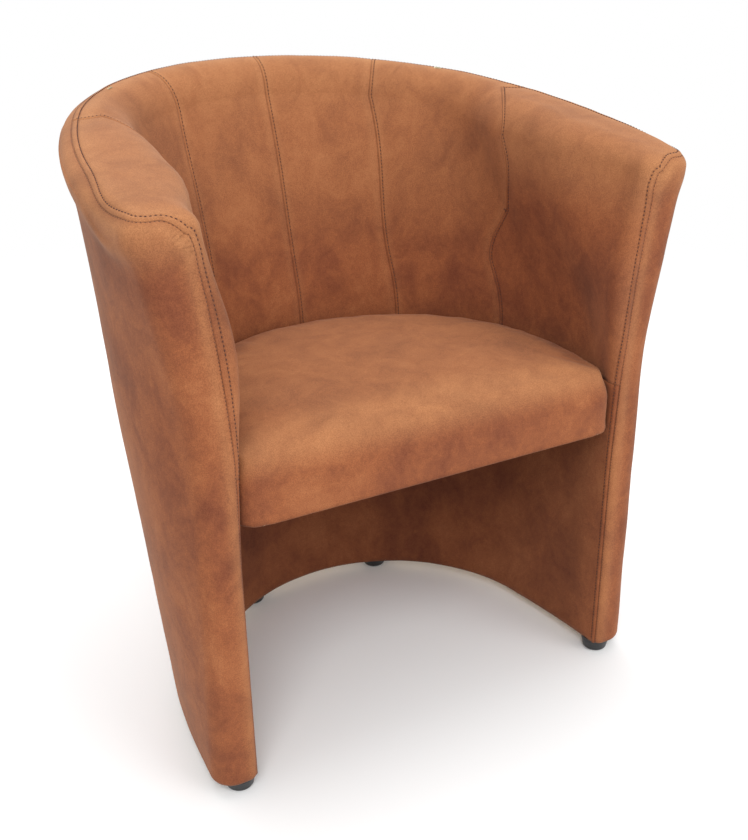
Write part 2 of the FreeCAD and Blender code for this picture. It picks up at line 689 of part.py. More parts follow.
def makePadding(finished):
    """Wadding outside, foam behind the channel panels and over the rail, and foam on the arm fronts."""
    underSkin = rolledOuter("under_skin", underCover)
    span = slab("wadding_span", frameBottom, "back_height", behindEndFoam)
    sideSkin = cut("wadding_side_skin", underSkin, straightOuter("wadding_back", waddingBack))
    side = common("wadding_side", sideSkin, span, rimSlab("wadding_low", deep, "(0 - soft_gap)"))
    topSkin = cut("wadding_top_skin", underSkin, straightOuter("wadding_seam", "seam_inset"))
    top = common("wadding_top", topSkin, span, rimSlab("wadding_high", "(0 - soft_gap)", "roll_height"))
    node("outer_wadding", fuse("outer_wadding_shape", side, top))

    foamStart = f"({behindEndFoam} + soft_gap)"
    foamSpan = slab("foam_span", "(seat_ring_top + soft_gap)", "back_height", foamStart)
    foamFace = rolledPlainInner("foam_face", underQuilt)
    underQuilts = cut("under_quilts", rolledOuter("foam_top", underQuilt), foamFace)
    innerFoam = common("inner_foam", underQuilts, hardInner("foam_back", "(0 - soft_gap)"), foamSpan)
    overRail = common("over_rail", underQuilts, rimSlab("over_shoulder", "soft_gap", "roll_height"), foamSpan)
    node("back_foam", fuse("back_foam_shape", innerFoam, overRail))

    quiltRoom = common(
        "quilt_room",
        cut("quilt_room_skin", finished, behindPanels("behind_room", underQuilt)),
        straightOuter("quilt_room_side", "seam_inset"),
        slab("quilt_room_span", "(panel_foot_height - soft_gap)", "back_height + overrun"),
    )
    endWall = cut("end_wall", paddedWall("end_skin", underCover), quiltRoom)
    endDepth = f"({front} + {endFoamBack})"
    for side, xLow, xHigh in chairHalves:
        zone = block(f"end_zone_{side}", xLow, xHigh, front, endDepth, frameBottom, "back_height")
        node(f"front_foam_{side}", common(f"front_foam_{side}_shape", endWall, zone))


# Seat


def seatOutline(name, level, depth, sideExtra="0", frontExtra="0", lift="0", innerFrom=None, corner=None):
    """The seat's plan on a level, inside the wall, drawn in by depth and more on its rounded edges."""
    corner = corner or f"(seat_corner_radius - ({depth}))"
    inward = f"seat_clearance + {depth} + {sideExtra}"
    source = innerFrom or level
    back = f"{source['inner_back_radius']} - ({inward})"
    side = f"{source['inner_side_radius']} - ({inward})"
    frontDepth = f"seat_front_inset + {depth} + {frontExtra}"
    return outline(name, level, back, side, source["inner_turn"], frontDepth, corner, lift=lift)


def seatPad(name, depth, low, high):
    """The seat's plan between two heights, with straight sides that follow the wall."""
    lower = seatOutline(f"{name}_low", levelAt(low), depth)
    upper = seatOutline(f"{name}_high", levelAt(high), depth)
    return loft(name, [lower, upper])


def seatForm(name, depth):
    """The upholstered seat at a depth: straight sides, rounded upper edges and a crowned top."""
    top = levelAt("(seat_bottom + seat_edge_height)")
    sections = [
        seatOutline(f"{name}_low", levelAt(f"(seat_bottom + {depth})"), depth),
        seatOutline(f"{name}_edge", top, depth),
    ]
    for angle in rollAngles:
        sideExtra = rollExtra("seat_side_roll", depth, angle)
        frontExtra = rollExtra("seat_front_roll", depth, angle)
        lift = f"(seat_roll_height - ({depth})) * sin({angle})"
        sections.append(seatOutline(f"{name}_roll_{angle}", top, depth, sideExtra, frontExtra, lift))
    sections.append(seatOutline(f"{name}_above", top, depth, sideExtra, frontExtra, f"{lift} + overrun"))
    crown = doc.addObject("Part::Ellipsoid", f"{name}_crown")
    bind(crown, "Radius1", f"seat_crown_rise - ({depth})")
    bind(crown, "Radius2", f"seat_crown_half_width - ({depth})")
    bind(crown, "Radius3", f"seat_crown_half_depth - ({depth})")
    innerRear = "(overall_depth / 2 - waist_inset - waist_back_radius + waist_inner_back_radius)"
    bind(crown, "Placement.Base.y", f"({front} + {innerRear}) / 2")
    crownMiddle = "(seat_crown_top - seat_crown_rise)"
    bind(crown, "Placement.Base.z", crownMiddle)
    upright = slab(f"{name}_upright", "(seat_bottom - overrun)", crownMiddle)
    return common(f"{name}_crowned", loft(name, sections), fuse(f"{name}_domed", crown, upright))


railBottom = f"(seat_bottom + {underCover})"
railTop = f"({railBottom} + rail_height)"
wireHeight = f"({railTop} + wire_fit + spring_wire / 2)"
feltBottom = f"({railTop} + wire_fit + spring_wire + clip_steel + wire_fit + soft_gap)"
railFront = f"({front} + seat_front_inset + {underCover})"


def makeSeat():
    """Rails, felt, foam and cover of the seat, and the dust cloth under it."""
    finished = seatForm("seat_outside", "0")
    inside = seatForm("seat_inside", "cover")
    openingSpan = ("(seat_bottom - overrun)", "(seat_bottom + overrun / 2)")
    opening = seatPad("seat_opening", "(cover + hem_width)", *openingSpan)
    openings = fuse("cover_openings", opening, boltHoles("cover_bolt_holes"))
    cover = cut("seat_skin", finished, inside)
    node("seat_cover", cut("seat_cover_shape", cover, openings))

    clothSpan = ("(seat_bottom + soft_gap)", "(seat_bottom + soft_gap + dust_cloth)")
    node("dust_cover", seatPad("dust_cover_shape", "(cover + hem_width + soft_gap)", *clothSpan))

    filling = seatForm("seat_filling", underCover)
    railOutside = common("rail_outside", filling, slab("rail_span", railBottom, railTop))
    railInside = loft(
        "rail_inside",
        [
            seatOutline(
                f"rail_inside_{place}",
                levelAt(height),
                f"({underCover} + rail_width)",
                innerFrom=boltLevel,
                corner="seat_corner_radius",
            )
            for place, height in (("low", f"({railBottom} - overrun)"), ("high", f"({railTop} + overrun)"))
        ],
    )
    holes = fuse("rail_holes", boltHoles("rail_bolt_holes"), nutHoles("rail_nut_holes"))
    rails = cut("rails", cut("rail_ring", railOutside, railInside), holes)
    behindFrontRail = f"({railFront} + rail_width)"
    zones = (
        ("seat_front_rail", "(0 - overall_depth)", "overall_depth", "(0 - overall_depth)", behindFrontRail),
        ("seat_rear_rail", "(0 - overall_depth)", "overall_depth", "0", "overall_depth"),
        ("seat_side_rail_left", "(0 - overall_depth)", "0", behindFrontRail, "0"),
        ("seat_side_rail_right", "0", "overall_depth", behindFrontRail, "0"),
    )
    for name, xLow, xHigh, yLow, yHigh in zones:
        zone = block(f"{name}_zone", xLow, xHigh, yLow, yHigh, "0", "back_height")
        node(name, common(f"{name}_shape", rails, zone))

    feltSpan = slab("felt_span", feltBottom, f"({feltBottom} + felt)")
    node("spring_felt", common("spring_felt_shape", filling, feltSpan))
    foamSpan = slab("seat_foam_span", f"({feltBottom} + felt + soft_gap)", "back_height")
    node("seat_foam", common("seat_foam_shape", filling, foamSpan))


# Springs


def springRows():
    """The X places of the springs and, for each, the Y places of its first and last cross wires."""
    count = int(number("spring_count"))
    firstY = number(f"{railFront} + rail_width / 2")
    reach = number(f"{boltLevel['inner_back_radius']} - seat_clearance - {underCover} - rail_width / 2")
    centreY = number(f"{boltLevel['rear']} - {boltLevel['back_radius']}")
    rows = []
    for index in range(count):
        x = (index - (count - 1) / 2) * number("spring_spacing")
        rows.append((x, firstY, centreY + math.sqrt(reach**2 - x**2)))
    return rows


def wireSection(centre):
    """The wire's section across X, with flats for its round as there is so much of it."""
    sides = round(number("spring_wire_sides"))
    radius = number("spring_wire / 2")
    turns = [2 * math.pi * index / sides for index in range(sides + 1)]
    return Part.makePolygon([centre + Vector(0, math.sin(turn), math.cos(turn)) * radius for turn in turns])


def makeSprings():
    """Zigzag springs of bent wire, laid on the rails, and the steel clips that hold their ends."""
    half = number("spring_cross / 2")
    z = number(wireHeight)
    springs = []
    for x, firstY, lastY in springRows():
        crossings = round((lastY - firstY) / number("spring_pitch"))
        pitch = (lastY - firstY) / crossings
        edges = []
        for index in range(crossings + 1):
            y = firstY + index * pitch
            way = 1 if index % 2 == 0 else -1
            start = Vector(x - way * half, y, z)
            end = Vector(x + way * half, y, z)
            edges.append(Part.LineSegment(start, end).toShape())
            if index < crossings:
                turnMiddle = Vector(x + way * (half + pitch / 2), y + pitch / 2, z)
                edges.append(Part.Arc(end, turnMiddle, end + Vector(0, pitch, 0)).toShape())
        path = Part.Wire(edges)
        begin = edges[0].Vertexes[0].Point
        springs.append(path.makePipeShell([wireSection(begin)], True, False))
    item = doc.addObject("Part::Feature", "seat_springs_shape")
    item.Shape = Part.makeCompound(springs)
    node("seat_springs", item)

    clips = []
    for x, firstY, lastY in springRows():
        clips.append(clipBody(x, firstY, -1))
        clips.append(clipBody(x, lastY, 1))
    clipSet = doc.addObject("Part::Compound", "spring_clips_shape")
    clipSet.Links = clips
    node("spring_clips", clipSet)


def bodyPlane(body, role):
    return next(feature for feature in body.Origin.OriginFeatures if feature.Role == role)


def profileSketch(body, plane, name, corners):
    """A closed profile on one of the body's planes. Each corner gives its two places and, where an arc
    starts there, the arc's radius, positive where it bulges to the right of the way it is drawn."""
    sketch = body.newObject("Sketcher::SketchObject", name)
    sketch.AttachmentSupport = [(bodyPlane(body, plane), "")]
    sketch.MapMode = "FlatFace"
    points = [Vector(number(corner[0]), number(corner[1]), 0) for corner in corners]
    geometry = []
    ends = []
    for index, corner in enumerate(corners):
        start, end = points[index], points[(index + 1) % len(points)]
        if len(corner) < 3:
            geometry.append(Part.LineSegment(start, end))
            ends.append((1, 2))
            continue
        radius = number(corner[2])
        chord = end - start
        rightward = Vector(chord.y, -chord.x, 0).normalize()
        rise = abs(radius) - math.sqrt(max(radius**2 - (chord.Length / 2) ** 2, 0))
        top = (start + end) / 2 + rightward * math.copysign(rise, radius)
        geometry.append(Part.Arc(start, top, end) if radius > 0 else Part.Arc(end, top, start))
        ends.append((1, 2) if radius > 0 else (2, 1))
    sketch.addGeometry(geometry, False)
    for index, corner in enumerate(corners):
        startPos, endPos = ends[index]
        following = (index + 1) % len(corners)
        sketch.addConstraint(Sketcher.Constraint("Coincident", index, endPos, following, ends[following][0]))
        for kind, axis, expression in (("DistanceX", -2, corner[0]), ("DistanceY", -1, corner[1])):
            if expression == "0":
                sketch.addConstraint(Sketcher.Constraint("PointOnObject", index, startPos, axis))
            else:
                value = number(expression)
                place = sketch.addConstraint(Sketcher.Constraint(kind, -1, 1, index, startPos, value))
                bind(sketch, f"Constraints[{place}]", expression)
        if len(corner) == 3 and corner[1] == corners[following][1] == "0":
            sketch.addConstraint(Sketcher.Constraint("PointOnObject", index, 3, -1))
        elif len(corner) == 3:
            place = sketch.addConstraint(Sketcher.Constraint("Radius", index, abs(number(corner[2]))))
            bind(sketch, f"Constraints[{place}]", f"abs({corner[2]})")
    return sketch


def padded(name, sketch, body, length, both=False):
    pad = body.newObject("PartDesign::Pad", name)
    pad.Profile = sketch
    pad.Midplane = both
    bind(pad, "Length", length)
    return pad


def revolved(name, sketch, body):
    item = body.newObject("PartDesign::Revolution", name)
    item.Profile = sketch
    item.ReferenceAxis = (sketch, ["V_Axis"])
    item.Angle = 360
    return item


def clipBody(x, y, way):
    """A strip bent over the end wire of a spring, with a tab nailed down on the far side of the rail."""
    body = doc.addObject("PartDesign::Body", "spring_clip")
    inner = "(spring_wire / 2 + wire_fit)"
    outer = f"({inner} + clip_steel)"
    foot = f"(0 - {inner})"
    corners = [
        (f"0 - {inner}", foot),
        (f"0 - {inner}", "0", f"0 - {inner}"),
        (inner, "0"),
        (inner, foot),
        (outer, foot),
        (outer, "0", outer),
        (f"0 - {outer}", "0"),
        (f"0 - {outer}", f"clip_steel - {inner}"),
        (f"0 - {outer} - clip_tab", f"clip_steel - {inner}"),
        (f"0 - {outer} - clip_tab", foot),
    ]
    sketch = profileSketch(body, "YZ_Plane", "clip_profile", corners)
    padded("clip", sketch, body, "clip_width", both=True)
    turn = Rotation(Vector(0, 0, 1), 0 if way < 0 else 180)
    body.Placement = Placement(Vector(x, y, number(wireHeight)), turn)
    return body


# Seat bolts

boltLevel = levelAt("bolt_height")
boltCentre = f"({boltLevel['rear']} - {boltLevel['back_radius']})"
boltSeat = f"({boltLevel['back_radius']} - {frameFace} - washer_thickness - bolt_head_height - wire_fit)"
railInnerFace = f"({boltLevel['inner_back_radius']} - seat_clearance - {underCover} - rail_width)"
boltAngles = ["0 - side_post_angle", "0 - rear_post_angle", "rear_post_angle", "side_post_angle"]


def boltPlacement(angle, distance):
    """Upright pieces laid on a bolt's axis, their own Z pointing out of the chair."""
    turn = number(angle)
    outward = Vector(math.sin(math.radians(turn)), math.cos(math.radians(turn)), 0)
    place = Vector(0, number(boltCentre), number("bolt_height")) + outward * number(distance)
    return Placement(place, Rotation(Vector(0, 0, 1), outward))


def radialHoles(name, radius, low, high):
    """Round holes on the four bolt axes, between two distances from the middle of the plan."""
    holes = []
    for index, angle in enumerate(boltAngles):
        hole = doc.addObject("Part::Cylinder", f"{name}_{index}")
        bind(hole, "Radius", radius)
        bind(hole, "Height", f"{high} - {low}")
        hole.Placement = boltPlacement(angle, low)
        holes.append(hole)
    item = doc.addObject("Part::Compound", name)
    item.Links = holes
    return item


def boltHoles(name):
    return radialHoles(name, "bolt_hole_radius", f"({railInnerFace} - overrun)", boltLevel["back_radius"])


def headHoles(name):
    return radialHoles(name, "(washer_radius + wire_fit)", boltSeat, boltLevel["back_radius"])


def nutHoles(name):
    start = f"({railInnerFace} - overrun)"
    barrel = radialHoles(f"{name}_barrels", "nut_barrel_radius", start, f"({railInnerFace} + nut_barrel)")
    spotEnd = f"({railInnerFace} + soft_gap)"
    spot = radialHoles(f"{name}_spots", "(nut_flange_radius + wire_fit)", start, spotEnd)
    return fuse(name, barrel, spot)


def hexagonSketch(body, name, radius):
    """A hexagon on the body's own floor plane, inside a circle of the radius."""
    sketch = body.newObject("Sketcher::SketchObject", name)
    sketch.AttachmentSupport = [(bodyPlane(body, "XY_Plane"), "")]
    sketch.MapMode = "FlatFace"
    reach = number(radius)
    turns = [math.radians(60 * index) for index in range(6)]
    corners = [Vector(reach * math.cos(turn), reach * math.sin(turn), 0) for turn in turns]
    sides = [Part.LineSegment(corners[index - 1], corners[index]) for index in range(6)]
    sketch.addGeometry([*sides, Part.Circle(Vector(0, 0, 0), Vector(0, 0, 1), reach)], False)
    sketch.toggleConstruction(6)
    for index in range(6):
        sketch.addConstraint(Sketcher.Constraint("Coincident", index, 2, (index + 1) % 6, 1))
        sketch.addConstraint(Sketcher.Constraint("PointOnObject", index, 1, 6))
    for index in range(5):
        sketch.addConstraint(Sketcher.Constraint("Equal", index, index + 1))
    sketch.addConstraint(Sketcher.Constraint("Coincident", 6, 3, -1, 1))
    sketch.addConstraint(Sketcher.Constraint("PointOnObject", 0, 2, -1))
    place = sketch.addConstraint(Sketcher.Constraint("Radius", 6, reach))
    bind(sketch, f"Constraints[{place}]", radius)
    return sketch


def makeBolts():
    """Hexagon bolts through the posts into tee nuts in the seat rails, with a washer under each head."""
    bolts, washers, nuts = [], [], []
    length = f"({boltSeat} + washer_thickness - {railInnerFace})"
    for angle in boltAngles:
        bolt = doc.addObject("PartDesign::Body", "seat_bolt")
        head = hexagonSketch(bolt, "head_hexagon", "bolt_head_width / (2 * cos(30))")
        padded("head", head, bolt, "bolt_head_height")
        shank = profileSketch(
            bolt,
            "XZ_Plane",
            "shank_profile",
            [("0", "0"), ("bolt_radius", "0"), ("bolt_radius", f"0 - {length}"), ("0", f"0 - {length}")],
        )
        revolved("shank", shank, bolt)
        bolt.Placement = boltPlacement(angle, f"({boltSeat} + washer_thickness)")
        bolts.append(bolt)

        washer = doc.addObject("PartDesign::Body", "bolt_washer")
        washerProfile = [
            ("bolt_hole_radius", "0"),
            ("washer_radius", "0"),
            ("washer_radius", "washer_thickness"),
            ("bolt_hole_radius", "washer_thickness"),
        ]
        revolved("ring", profileSketch(washer, "XZ_Plane", "washer_profile", washerProfile), washer)
        washer.Placement = boltPlacement(angle, boltSeat)
        washers.append(washer)

        nut = doc.addObject("PartDesign::Body", "tee_nut")
        bore = "(bolt_radius + wire_fit)"
        barrel = "(nut_barrel_radius - wire_fit)"
        nutProfile = [
            (bore, "0"),
            ("nut_flange_radius", "0"),
            ("nut_flange_radius", "nut_flange"),
            (barrel, "nut_flange"),
            (barrel, "nut_barrel"),
            (bore, "nut_barrel"),
        ]
        revolved("nut", profileSketch(nut, "XZ_Plane", "nut_profile", nutProfile), nut)
        nut.Placement = boltPlacement(angle, f"({railInnerFace} + soft_gap - nut_flange)")
        nuts.append(nut)
    for name, bodies in (("seat_bolts", bolts), ("bolt_washers", washers), ("tee_nuts", nuts)):
        group = doc.addObject("Part::Compound", f"{name}_shape")
        group.Links = bodies
        node(name, group)


# Glides


def glidePlaces():
    frontY = number(f"{front} + glide_front_inset")
    half = number("glide_front_spread / 2")
    middleRadius = number("(base_back_radius + base_inner_back_radius) / 2")
    centreY = number(f"{base['rear']} - base_back_radius")
    turn = math.radians(number("glide_rear_angle"))
    rearX = middleRadius * math.sin(turn)
    rearY = centreY + middleRadius * math.cos(turn)
    return [(-half, frontY), (half, frontY), (-rearX, rearY), (rearX, rearY)]


def makeGlides():
    """Round plastic glides under the base ring, each held by a wood screw sunk into its foot."""
    glides, screws = [], []
    hole = "(glide_screw_radius + screw_fit)"
    recess = "(screw_head_radius + screw_fit)"
    recessDepth = "(screw_recess + screw_head_height)"
    for x, y in glidePlaces():
        glide = doc.addObject("PartDesign::Body", "floor_glide")
        corners = [
            (hole, "glide_height"),
            ("glide_radius", "glide_height"),
            ("glide_radius", "(glide_height - glide_collar_height)"),
            ("glide_foot_radius", "glide_edge_radius", "0 - glide_edge_radius"),
            ("(glide_foot_radius - glide_edge_radius)", "0"),
            (recess, "0"),
            (recess, recessDepth),
            (hole, recessDepth),
        ]
        sketch = profileSketch(glide, "XZ_Plane", "glide_profile", corners)
        revolved("glide", sketch, glide)
        glide.Placement = Placement(Vector(x, y, 0), Rotation())
        glides.append(glide)

        screw = doc.addObject("PartDesign::Body", "glide_screw")
        screwCorners = [
            ("0", "screw_recess"),
            ("screw_head_radius", "screw_recess"),
            ("screw_head_radius", recessDepth),
            ("glide_screw_radius", recessDepth),
            ("glide_screw_radius", f"({recessDepth} + glide_screw_length - glide_screw_radius)"),
            ("0", f"({recessDepth} + glide_screw_length)"),
        ]
        revolved("screw", profileSketch(screw, "XZ_Plane", "screw_profile", screwCorners), screw)
        screw.Placement = Placement(Vector(x, y, 0), Rotation())
        screws.append(screw)
    for name, bodies in (("floor_glides", glides), ("glide_screws", screws)):
        group = doc.addObject("Part::Compound", f"{name}_shape")
        group.Links = bodies
        node(name, group)


def screwHoles(name):
    holes = []
    for index, (x, y) in enumerate(glidePlaces()):
        hole = doc.addObject("Part::Cylinder", f"{name}_{index}")
        bind(hole, "Radius", "(glide_screw_radius + screw_fit)")
        bind(hole, "Height", "(screw_recess + screw_head_height + glide_screw_length + soft_gap)")
        hole.Placement = Placement(Vector(x, y, 0), Rotation())
        holes.append(hole)
    item = doc.addObject("Part::Compound", name)
    item.Links = holes
    return item


def checkAndExport():
    doc.recompute()
    for item in doc.Objects:
        if "Invalid" in item.State or "Error" in item.State:
            raise RuntimeError(f"{item.Label} did not build: {item.State}")
    for item in nodes:
        if item.Shape.isNull() or not item.Shape.isValid() or not item.Shape.Solids:
            raise RuntimeError(f"{item.Label} has no sound solid")
    os.makedirs("parts", exist_ok=True)
    for item in nodes:
        item.Shape.exportStep(f"parts/{item.Label}.step")
        volume = sum(solid.Volume for solid in item.Shape.Solids)
        print(f"{item.Label}: {len(item.Shape.Solids)} solids, {volume / 1000:.1f} cm3")


finishedWall = paddedWall("finished_wall", "0")
makeFrame()
makePadding(finishedWall)
makeCovers(finishedWall)
makeSeat()
makeSprings()
makeBolts()
makeGlides()
checkAndExport()
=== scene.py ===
import math

import bmesh
import bpy
import numpy as np
from mathutils import Matrix, Vector, noise
from mathutils.bvhtree import BVHTree
from mathutils.kdtree import KDTree


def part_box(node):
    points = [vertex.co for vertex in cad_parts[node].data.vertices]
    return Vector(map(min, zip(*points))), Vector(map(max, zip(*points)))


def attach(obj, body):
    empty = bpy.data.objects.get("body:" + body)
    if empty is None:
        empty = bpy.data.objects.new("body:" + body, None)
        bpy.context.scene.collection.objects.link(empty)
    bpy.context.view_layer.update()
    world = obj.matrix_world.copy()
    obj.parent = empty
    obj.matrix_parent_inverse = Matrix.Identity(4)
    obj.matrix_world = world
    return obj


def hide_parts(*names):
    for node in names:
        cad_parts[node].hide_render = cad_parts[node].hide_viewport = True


# Cocktail chair: the sewn covers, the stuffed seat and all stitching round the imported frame.
# Shapes are worked out in millimetres and turned into metres when a mesh is made.

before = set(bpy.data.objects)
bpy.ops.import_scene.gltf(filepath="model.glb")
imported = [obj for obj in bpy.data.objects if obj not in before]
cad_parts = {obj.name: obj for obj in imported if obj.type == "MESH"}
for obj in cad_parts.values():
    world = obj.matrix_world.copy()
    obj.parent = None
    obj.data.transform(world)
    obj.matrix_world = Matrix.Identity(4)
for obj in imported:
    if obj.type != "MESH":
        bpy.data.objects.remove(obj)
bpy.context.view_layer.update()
mm = 0.001
rng = np.random.default_rng(7)

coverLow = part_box("outer_cover")[0]
hem = coverLow.z / mm
frontY = coverLow.y / mm
print("stage: frame loaded")

# The wall: a horseshoe plan at hem, waist and rim, with a padded roll over the rim

wall = {
    "depth": 532,
    "backHeight": 790,
    "armHeight": 691,
    "waistHeight": 460,
    "waistSoftness": 38,
    "rollHeight": 16,
    "outerRoll": 16,
    "innerRoll": 24,
    "backRoll": 42,
    "backRollHeight": 40,
    "backSwell": 7,
    "outerCorner": 28,
    "armPad": 47,
    "stuffing": 15.5,
    "splay": 18,
    "seamInset": 6,
    "seamCorner": (36, 48),
    "seamTopWidth": 316,
    "panelFoot": 414,
    "hemIn": 101,
    "waistIn": 70,
    "crownIn": 4,
}
rimTilt = math.atan((wall["backHeight"] - wall["armHeight"]) / wall["depth"])
shoulderHeight = wall["backHeight"] - wall["rollHeight"] / math.cos(rimTilt)
rear = frontY + wall["depth"]

# each level: its height, rear and tilt, the back radius, side radius and half turn of both faces, and the
# radius of the inner edge of the arm fronts
levelParts = ("height", "rear", "tilt", "outer", "inner", "lip")
levelRows = [
    (hem, rear - wall["hemIn"], 0, (299, 1379, 82), (242, 1300, 80), 12),
    (wall["waistHeight"], rear - wall["waistIn"], 0, (334, 268, 80), (266, 400, 82), 14),
    (shoulderHeight, rear, rimTilt, (334, 594, 70), (276, 450, 70), 19),
]
levels = [dict(zip(levelParts, row)) for row in levelRows]

# where along the plan, or up the wall, each fullness of the wall comes and goes
zones = {
    "fullRoll": (4.7, 5.8),
    "padStart": (4.95, 5.45),
    "padEnd": (5.7, 6.3),
    "padUp": (1, 2),
    "frontEnd": (5, 5.5),
    "stuffingUp": (0.6, 1.4),
    "splayUp": (1.4, 2.05),
    "crownUp": (2.1, 3),
    "swellAlong": (5.6, 6.3),
    "swellUp": (1.72, 0.33),
}
lastPlace = 6.999999
seamTurn = math.acos(1 - wall["seamInset"] / wall["outerRoll"])
seamUp = 2 + seamTurn / (math.pi / 2)
footUp = (wall["panelFoot"] - hem) / (wall["waistHeight"] - hem)


def smoothStep(value, low, high):
    share = np.clip((value - low) / (high - low), 0, 1)
    return share * share * (3 - 2 * share)


def bump(distance, place, width):
    return np.exp(-(((distance - place) / width) ** 2))


def planPoints(level, along, outerIn, innerIn, lift):
    # along runs 0-1 rear arc, 1-2 side, 2-3 corner, 3-4 arm front, 4-5 inner corner, 5-6 inner side and
    # 6-7 inner rear arc; outerIn and innerIn draw the two faces in on the roll
    outerBack, outerSide, outerTurn = level["outer"]
    innerBack, innerSide, innerTurn = level["inner"]
    outerTurn, innerTurn = math.radians(outerTurn), math.radians(innerTurn)
    quarter = math.pi / 2
    place = np.clip(along, 0, lastPlace)
    share = place % 1

    sideX = (outerBack - outerSide) * math.sin(outerTurn)
    sideY = -outerBack + (outerBack - outerSide) * math.cos(outerTurn)
    line = (frontY - level["rear"] + outerIn) / math.cos(level["tilt"])
    back, side, corner = outerBack - outerIn, outerSide - outerIn, wall["outerCorner"] - outerIn
    cornerY = line + corner
    cornerX = sideX + np.sqrt((side - corner) ** 2 - (cornerY - sideY) ** 2)
    cornerTurn = np.arctan2(cornerY - sideY, cornerX - sideX)

    innerX = (innerBack - innerSide) * math.sin(innerTurn)
    innerY = -outerBack + (innerBack - innerSide) * math.cos(innerTurn)
    inBack, inSide, lip = innerBack + innerIn, innerSide + innerIn, level["lip"]
    lipY = line + lip
    lipX = innerX + np.sqrt((inSide + lip) ** 2 - (lipY - innerY) ** 2)
    lipTurn = np.arctan2(lipY - innerY, lipX - innerX)

    def onCircle(x, y, radius, start, end):
        turn = start + (end - start) * share
        return x + radius * np.cos(turn), y + radius * np.sin(turn)

    stretches = [
        onCircle(0, -outerBack, back, quarter, quarter - outerTurn),
        onCircle(sideX, sideY, side, quarter - outerTurn, cornerTurn),
        onCircle(cornerX, cornerY, corner, cornerTurn, -quarter),
        (cornerX + (lipX - cornerX) * share, line + 0 * share),
        onCircle(lipX, lipY, lip, 3 * quarter, math.pi + lipTurn),
        onCircle(innerX, innerY, inSide, lipTurn, quarter - innerTurn),
        onCircle(0, -outerBack, inBack, quarter - innerTurn, quarter),
    ]
    where = [np.floor(place) == index for index in range(len(stretches))]
    x = np.select(where, [stretch[0] for stretch in stretches])
    y = np.select(where, [stretch[1] for stretch in stretches])
    sine, cosine = math.sin(level["tilt"]), math.cos(level["tilt"])
    tiltedY = level["rear"] - lift * sine + y * cosine
    tiltedZ = level["height"] + lift * cosine + y * sine
    return np.stack([x, tiltedY, tiltedZ], axis=-1)


def wallPoints(along, up):
    # points on the finished faces: along as above and negative on the left, up is 0 at the hem, 1 at the
    # waist, 2 at the shoulder and 3 at the crown
    along, up = np.broadcast_arrays(np.asarray(along, float), np.asarray(up, float))
    turn = np.clip(up - 2, 0, 1) * math.pi / 2
    rolled = 1 - np.cos(turn)
    reach = np.abs(along)
    none = np.zeros_like(reach)
    low, waist = (planPoints(level, reach, none, none, none) for level in levels[:2])

    # the roll on the sitter's side is fuller along the back than at the arm fronts
    full = smoothStep(reach, *zones["fullRoll"])
    rollHeight = wall["rollHeight"] + (wall["backRollHeight"] - wall["rollHeight"]) * full
    innerRoll = wall["innerRoll"] + (wall["backRoll"] - wall["innerRoll"]) * full
    lift = wall["rollHeight"] - rollHeight * (1 - np.sin(turn))
    high = planPoints(levels[2], reach, wall["outerRoll"] * rolled, innerRoll * rolled, lift)
    belowShare = np.clip(up, 0, 1)[..., None]
    aboveShare = np.clip(up - 1, 0, 1)[..., None]
    below = low + (waist - low) * belowShare
    above = waist + (high - waist) * aboveShare
    points = np.where(up[..., None] < 1, below, above)

    # the waist bends over a short height instead of in one line
    soft = wall["waistSoftness"]
    under = soft / (levels[1]["height"] - levels[0]["height"])
    over = soft / (levels[2]["height"] - levels[1]["height"])
    height = np.where(up < 1, (up - 1) / under, (up - 1) / over)
    share = ((height + 1) / 2)[..., None]
    first = waist + (low - waist) * under
    last = waist + (high - waist) * over
    bent = first * (1 - share) ** 2 + waist * 2 * share * (1 - share) + last * share**2
    points = np.where((np.abs(height) < 1)[..., None], bent, points)

    # the arm's pad and the stuffing at its front stand towards the sitter; the front splays at the top
    pad = wall["armPad"] * smoothStep(reach, *zones["padStart"]) * (1 - smoothStep(reach, *zones["padEnd"]))
    edge = wall["stuffing"] * smoothStep(up, *zones["stuffingUp"])
    edge -= wall["splay"] * smoothStep(up, *zones["splayUp"])
    edge += wall["crownIn"] * smoothStep(up, *zones["crownUp"])
    points[..., 0] -= edge * np.clip(reach - 3, 0, 1) * (1 - smoothStep(reach, *zones["frontEnd"]))
    points[..., 0] -= pad * smoothStep(up, *zones["padUp"])

    # and so does the middle of the back
    centre = np.array([0, rear - levels[2]["outer"][0]])
    away = points[..., :2] - centre
    swell = wall["backSwell"] * bump(up, *zones["swellUp"]) * smoothStep(reach, *zones["swellAlong"])
    points[..., :2] -= away / np.linalg.norm(away, axis=-1, keepdims=True) * swell[..., None]
    points[..., 0] *= np.where(along < 0, -1, 1)
    return points


def lengths(points):
    steps = np.linalg.norm(np.diff(points, axis=0), axis=1)
    return np.concatenate([[0], np.cumsum(steps)])


def resample(points, places):
    # the polyline's points at these distances along it
    run = lengths(points)
    return np.stack([np.interp(places, run, points[:, axis]) for axis in range(3)], axis=1)


# Places on the wall in millimetres: across from the middle of the rear, height up from the hem

stretchSteps = 200
alongSteps = np.linspace(0, 7, 7 * stretchSteps + 1)
frontSteps = slice(5 * stretchSteps // 2, 5 * stretchSteps + 1)
upSteps = np.linspace(0, 3, 601)
upRun = lengths(wallPoints(1.5, upSteps))
rowUp = np.linspace(0, 3, 61)
rowRun = np.array([lengths(wallPoints(alongSteps, up)) for up in rowUp])

# the main seam's distance from the middle, at heights up the arm fronts
seamHeights = [19, 430, 452, 496, 552, 608, 640, 700]
seamWidths = [258, 257.5, 259, 262, 267, 273.5, 278.5, 280]


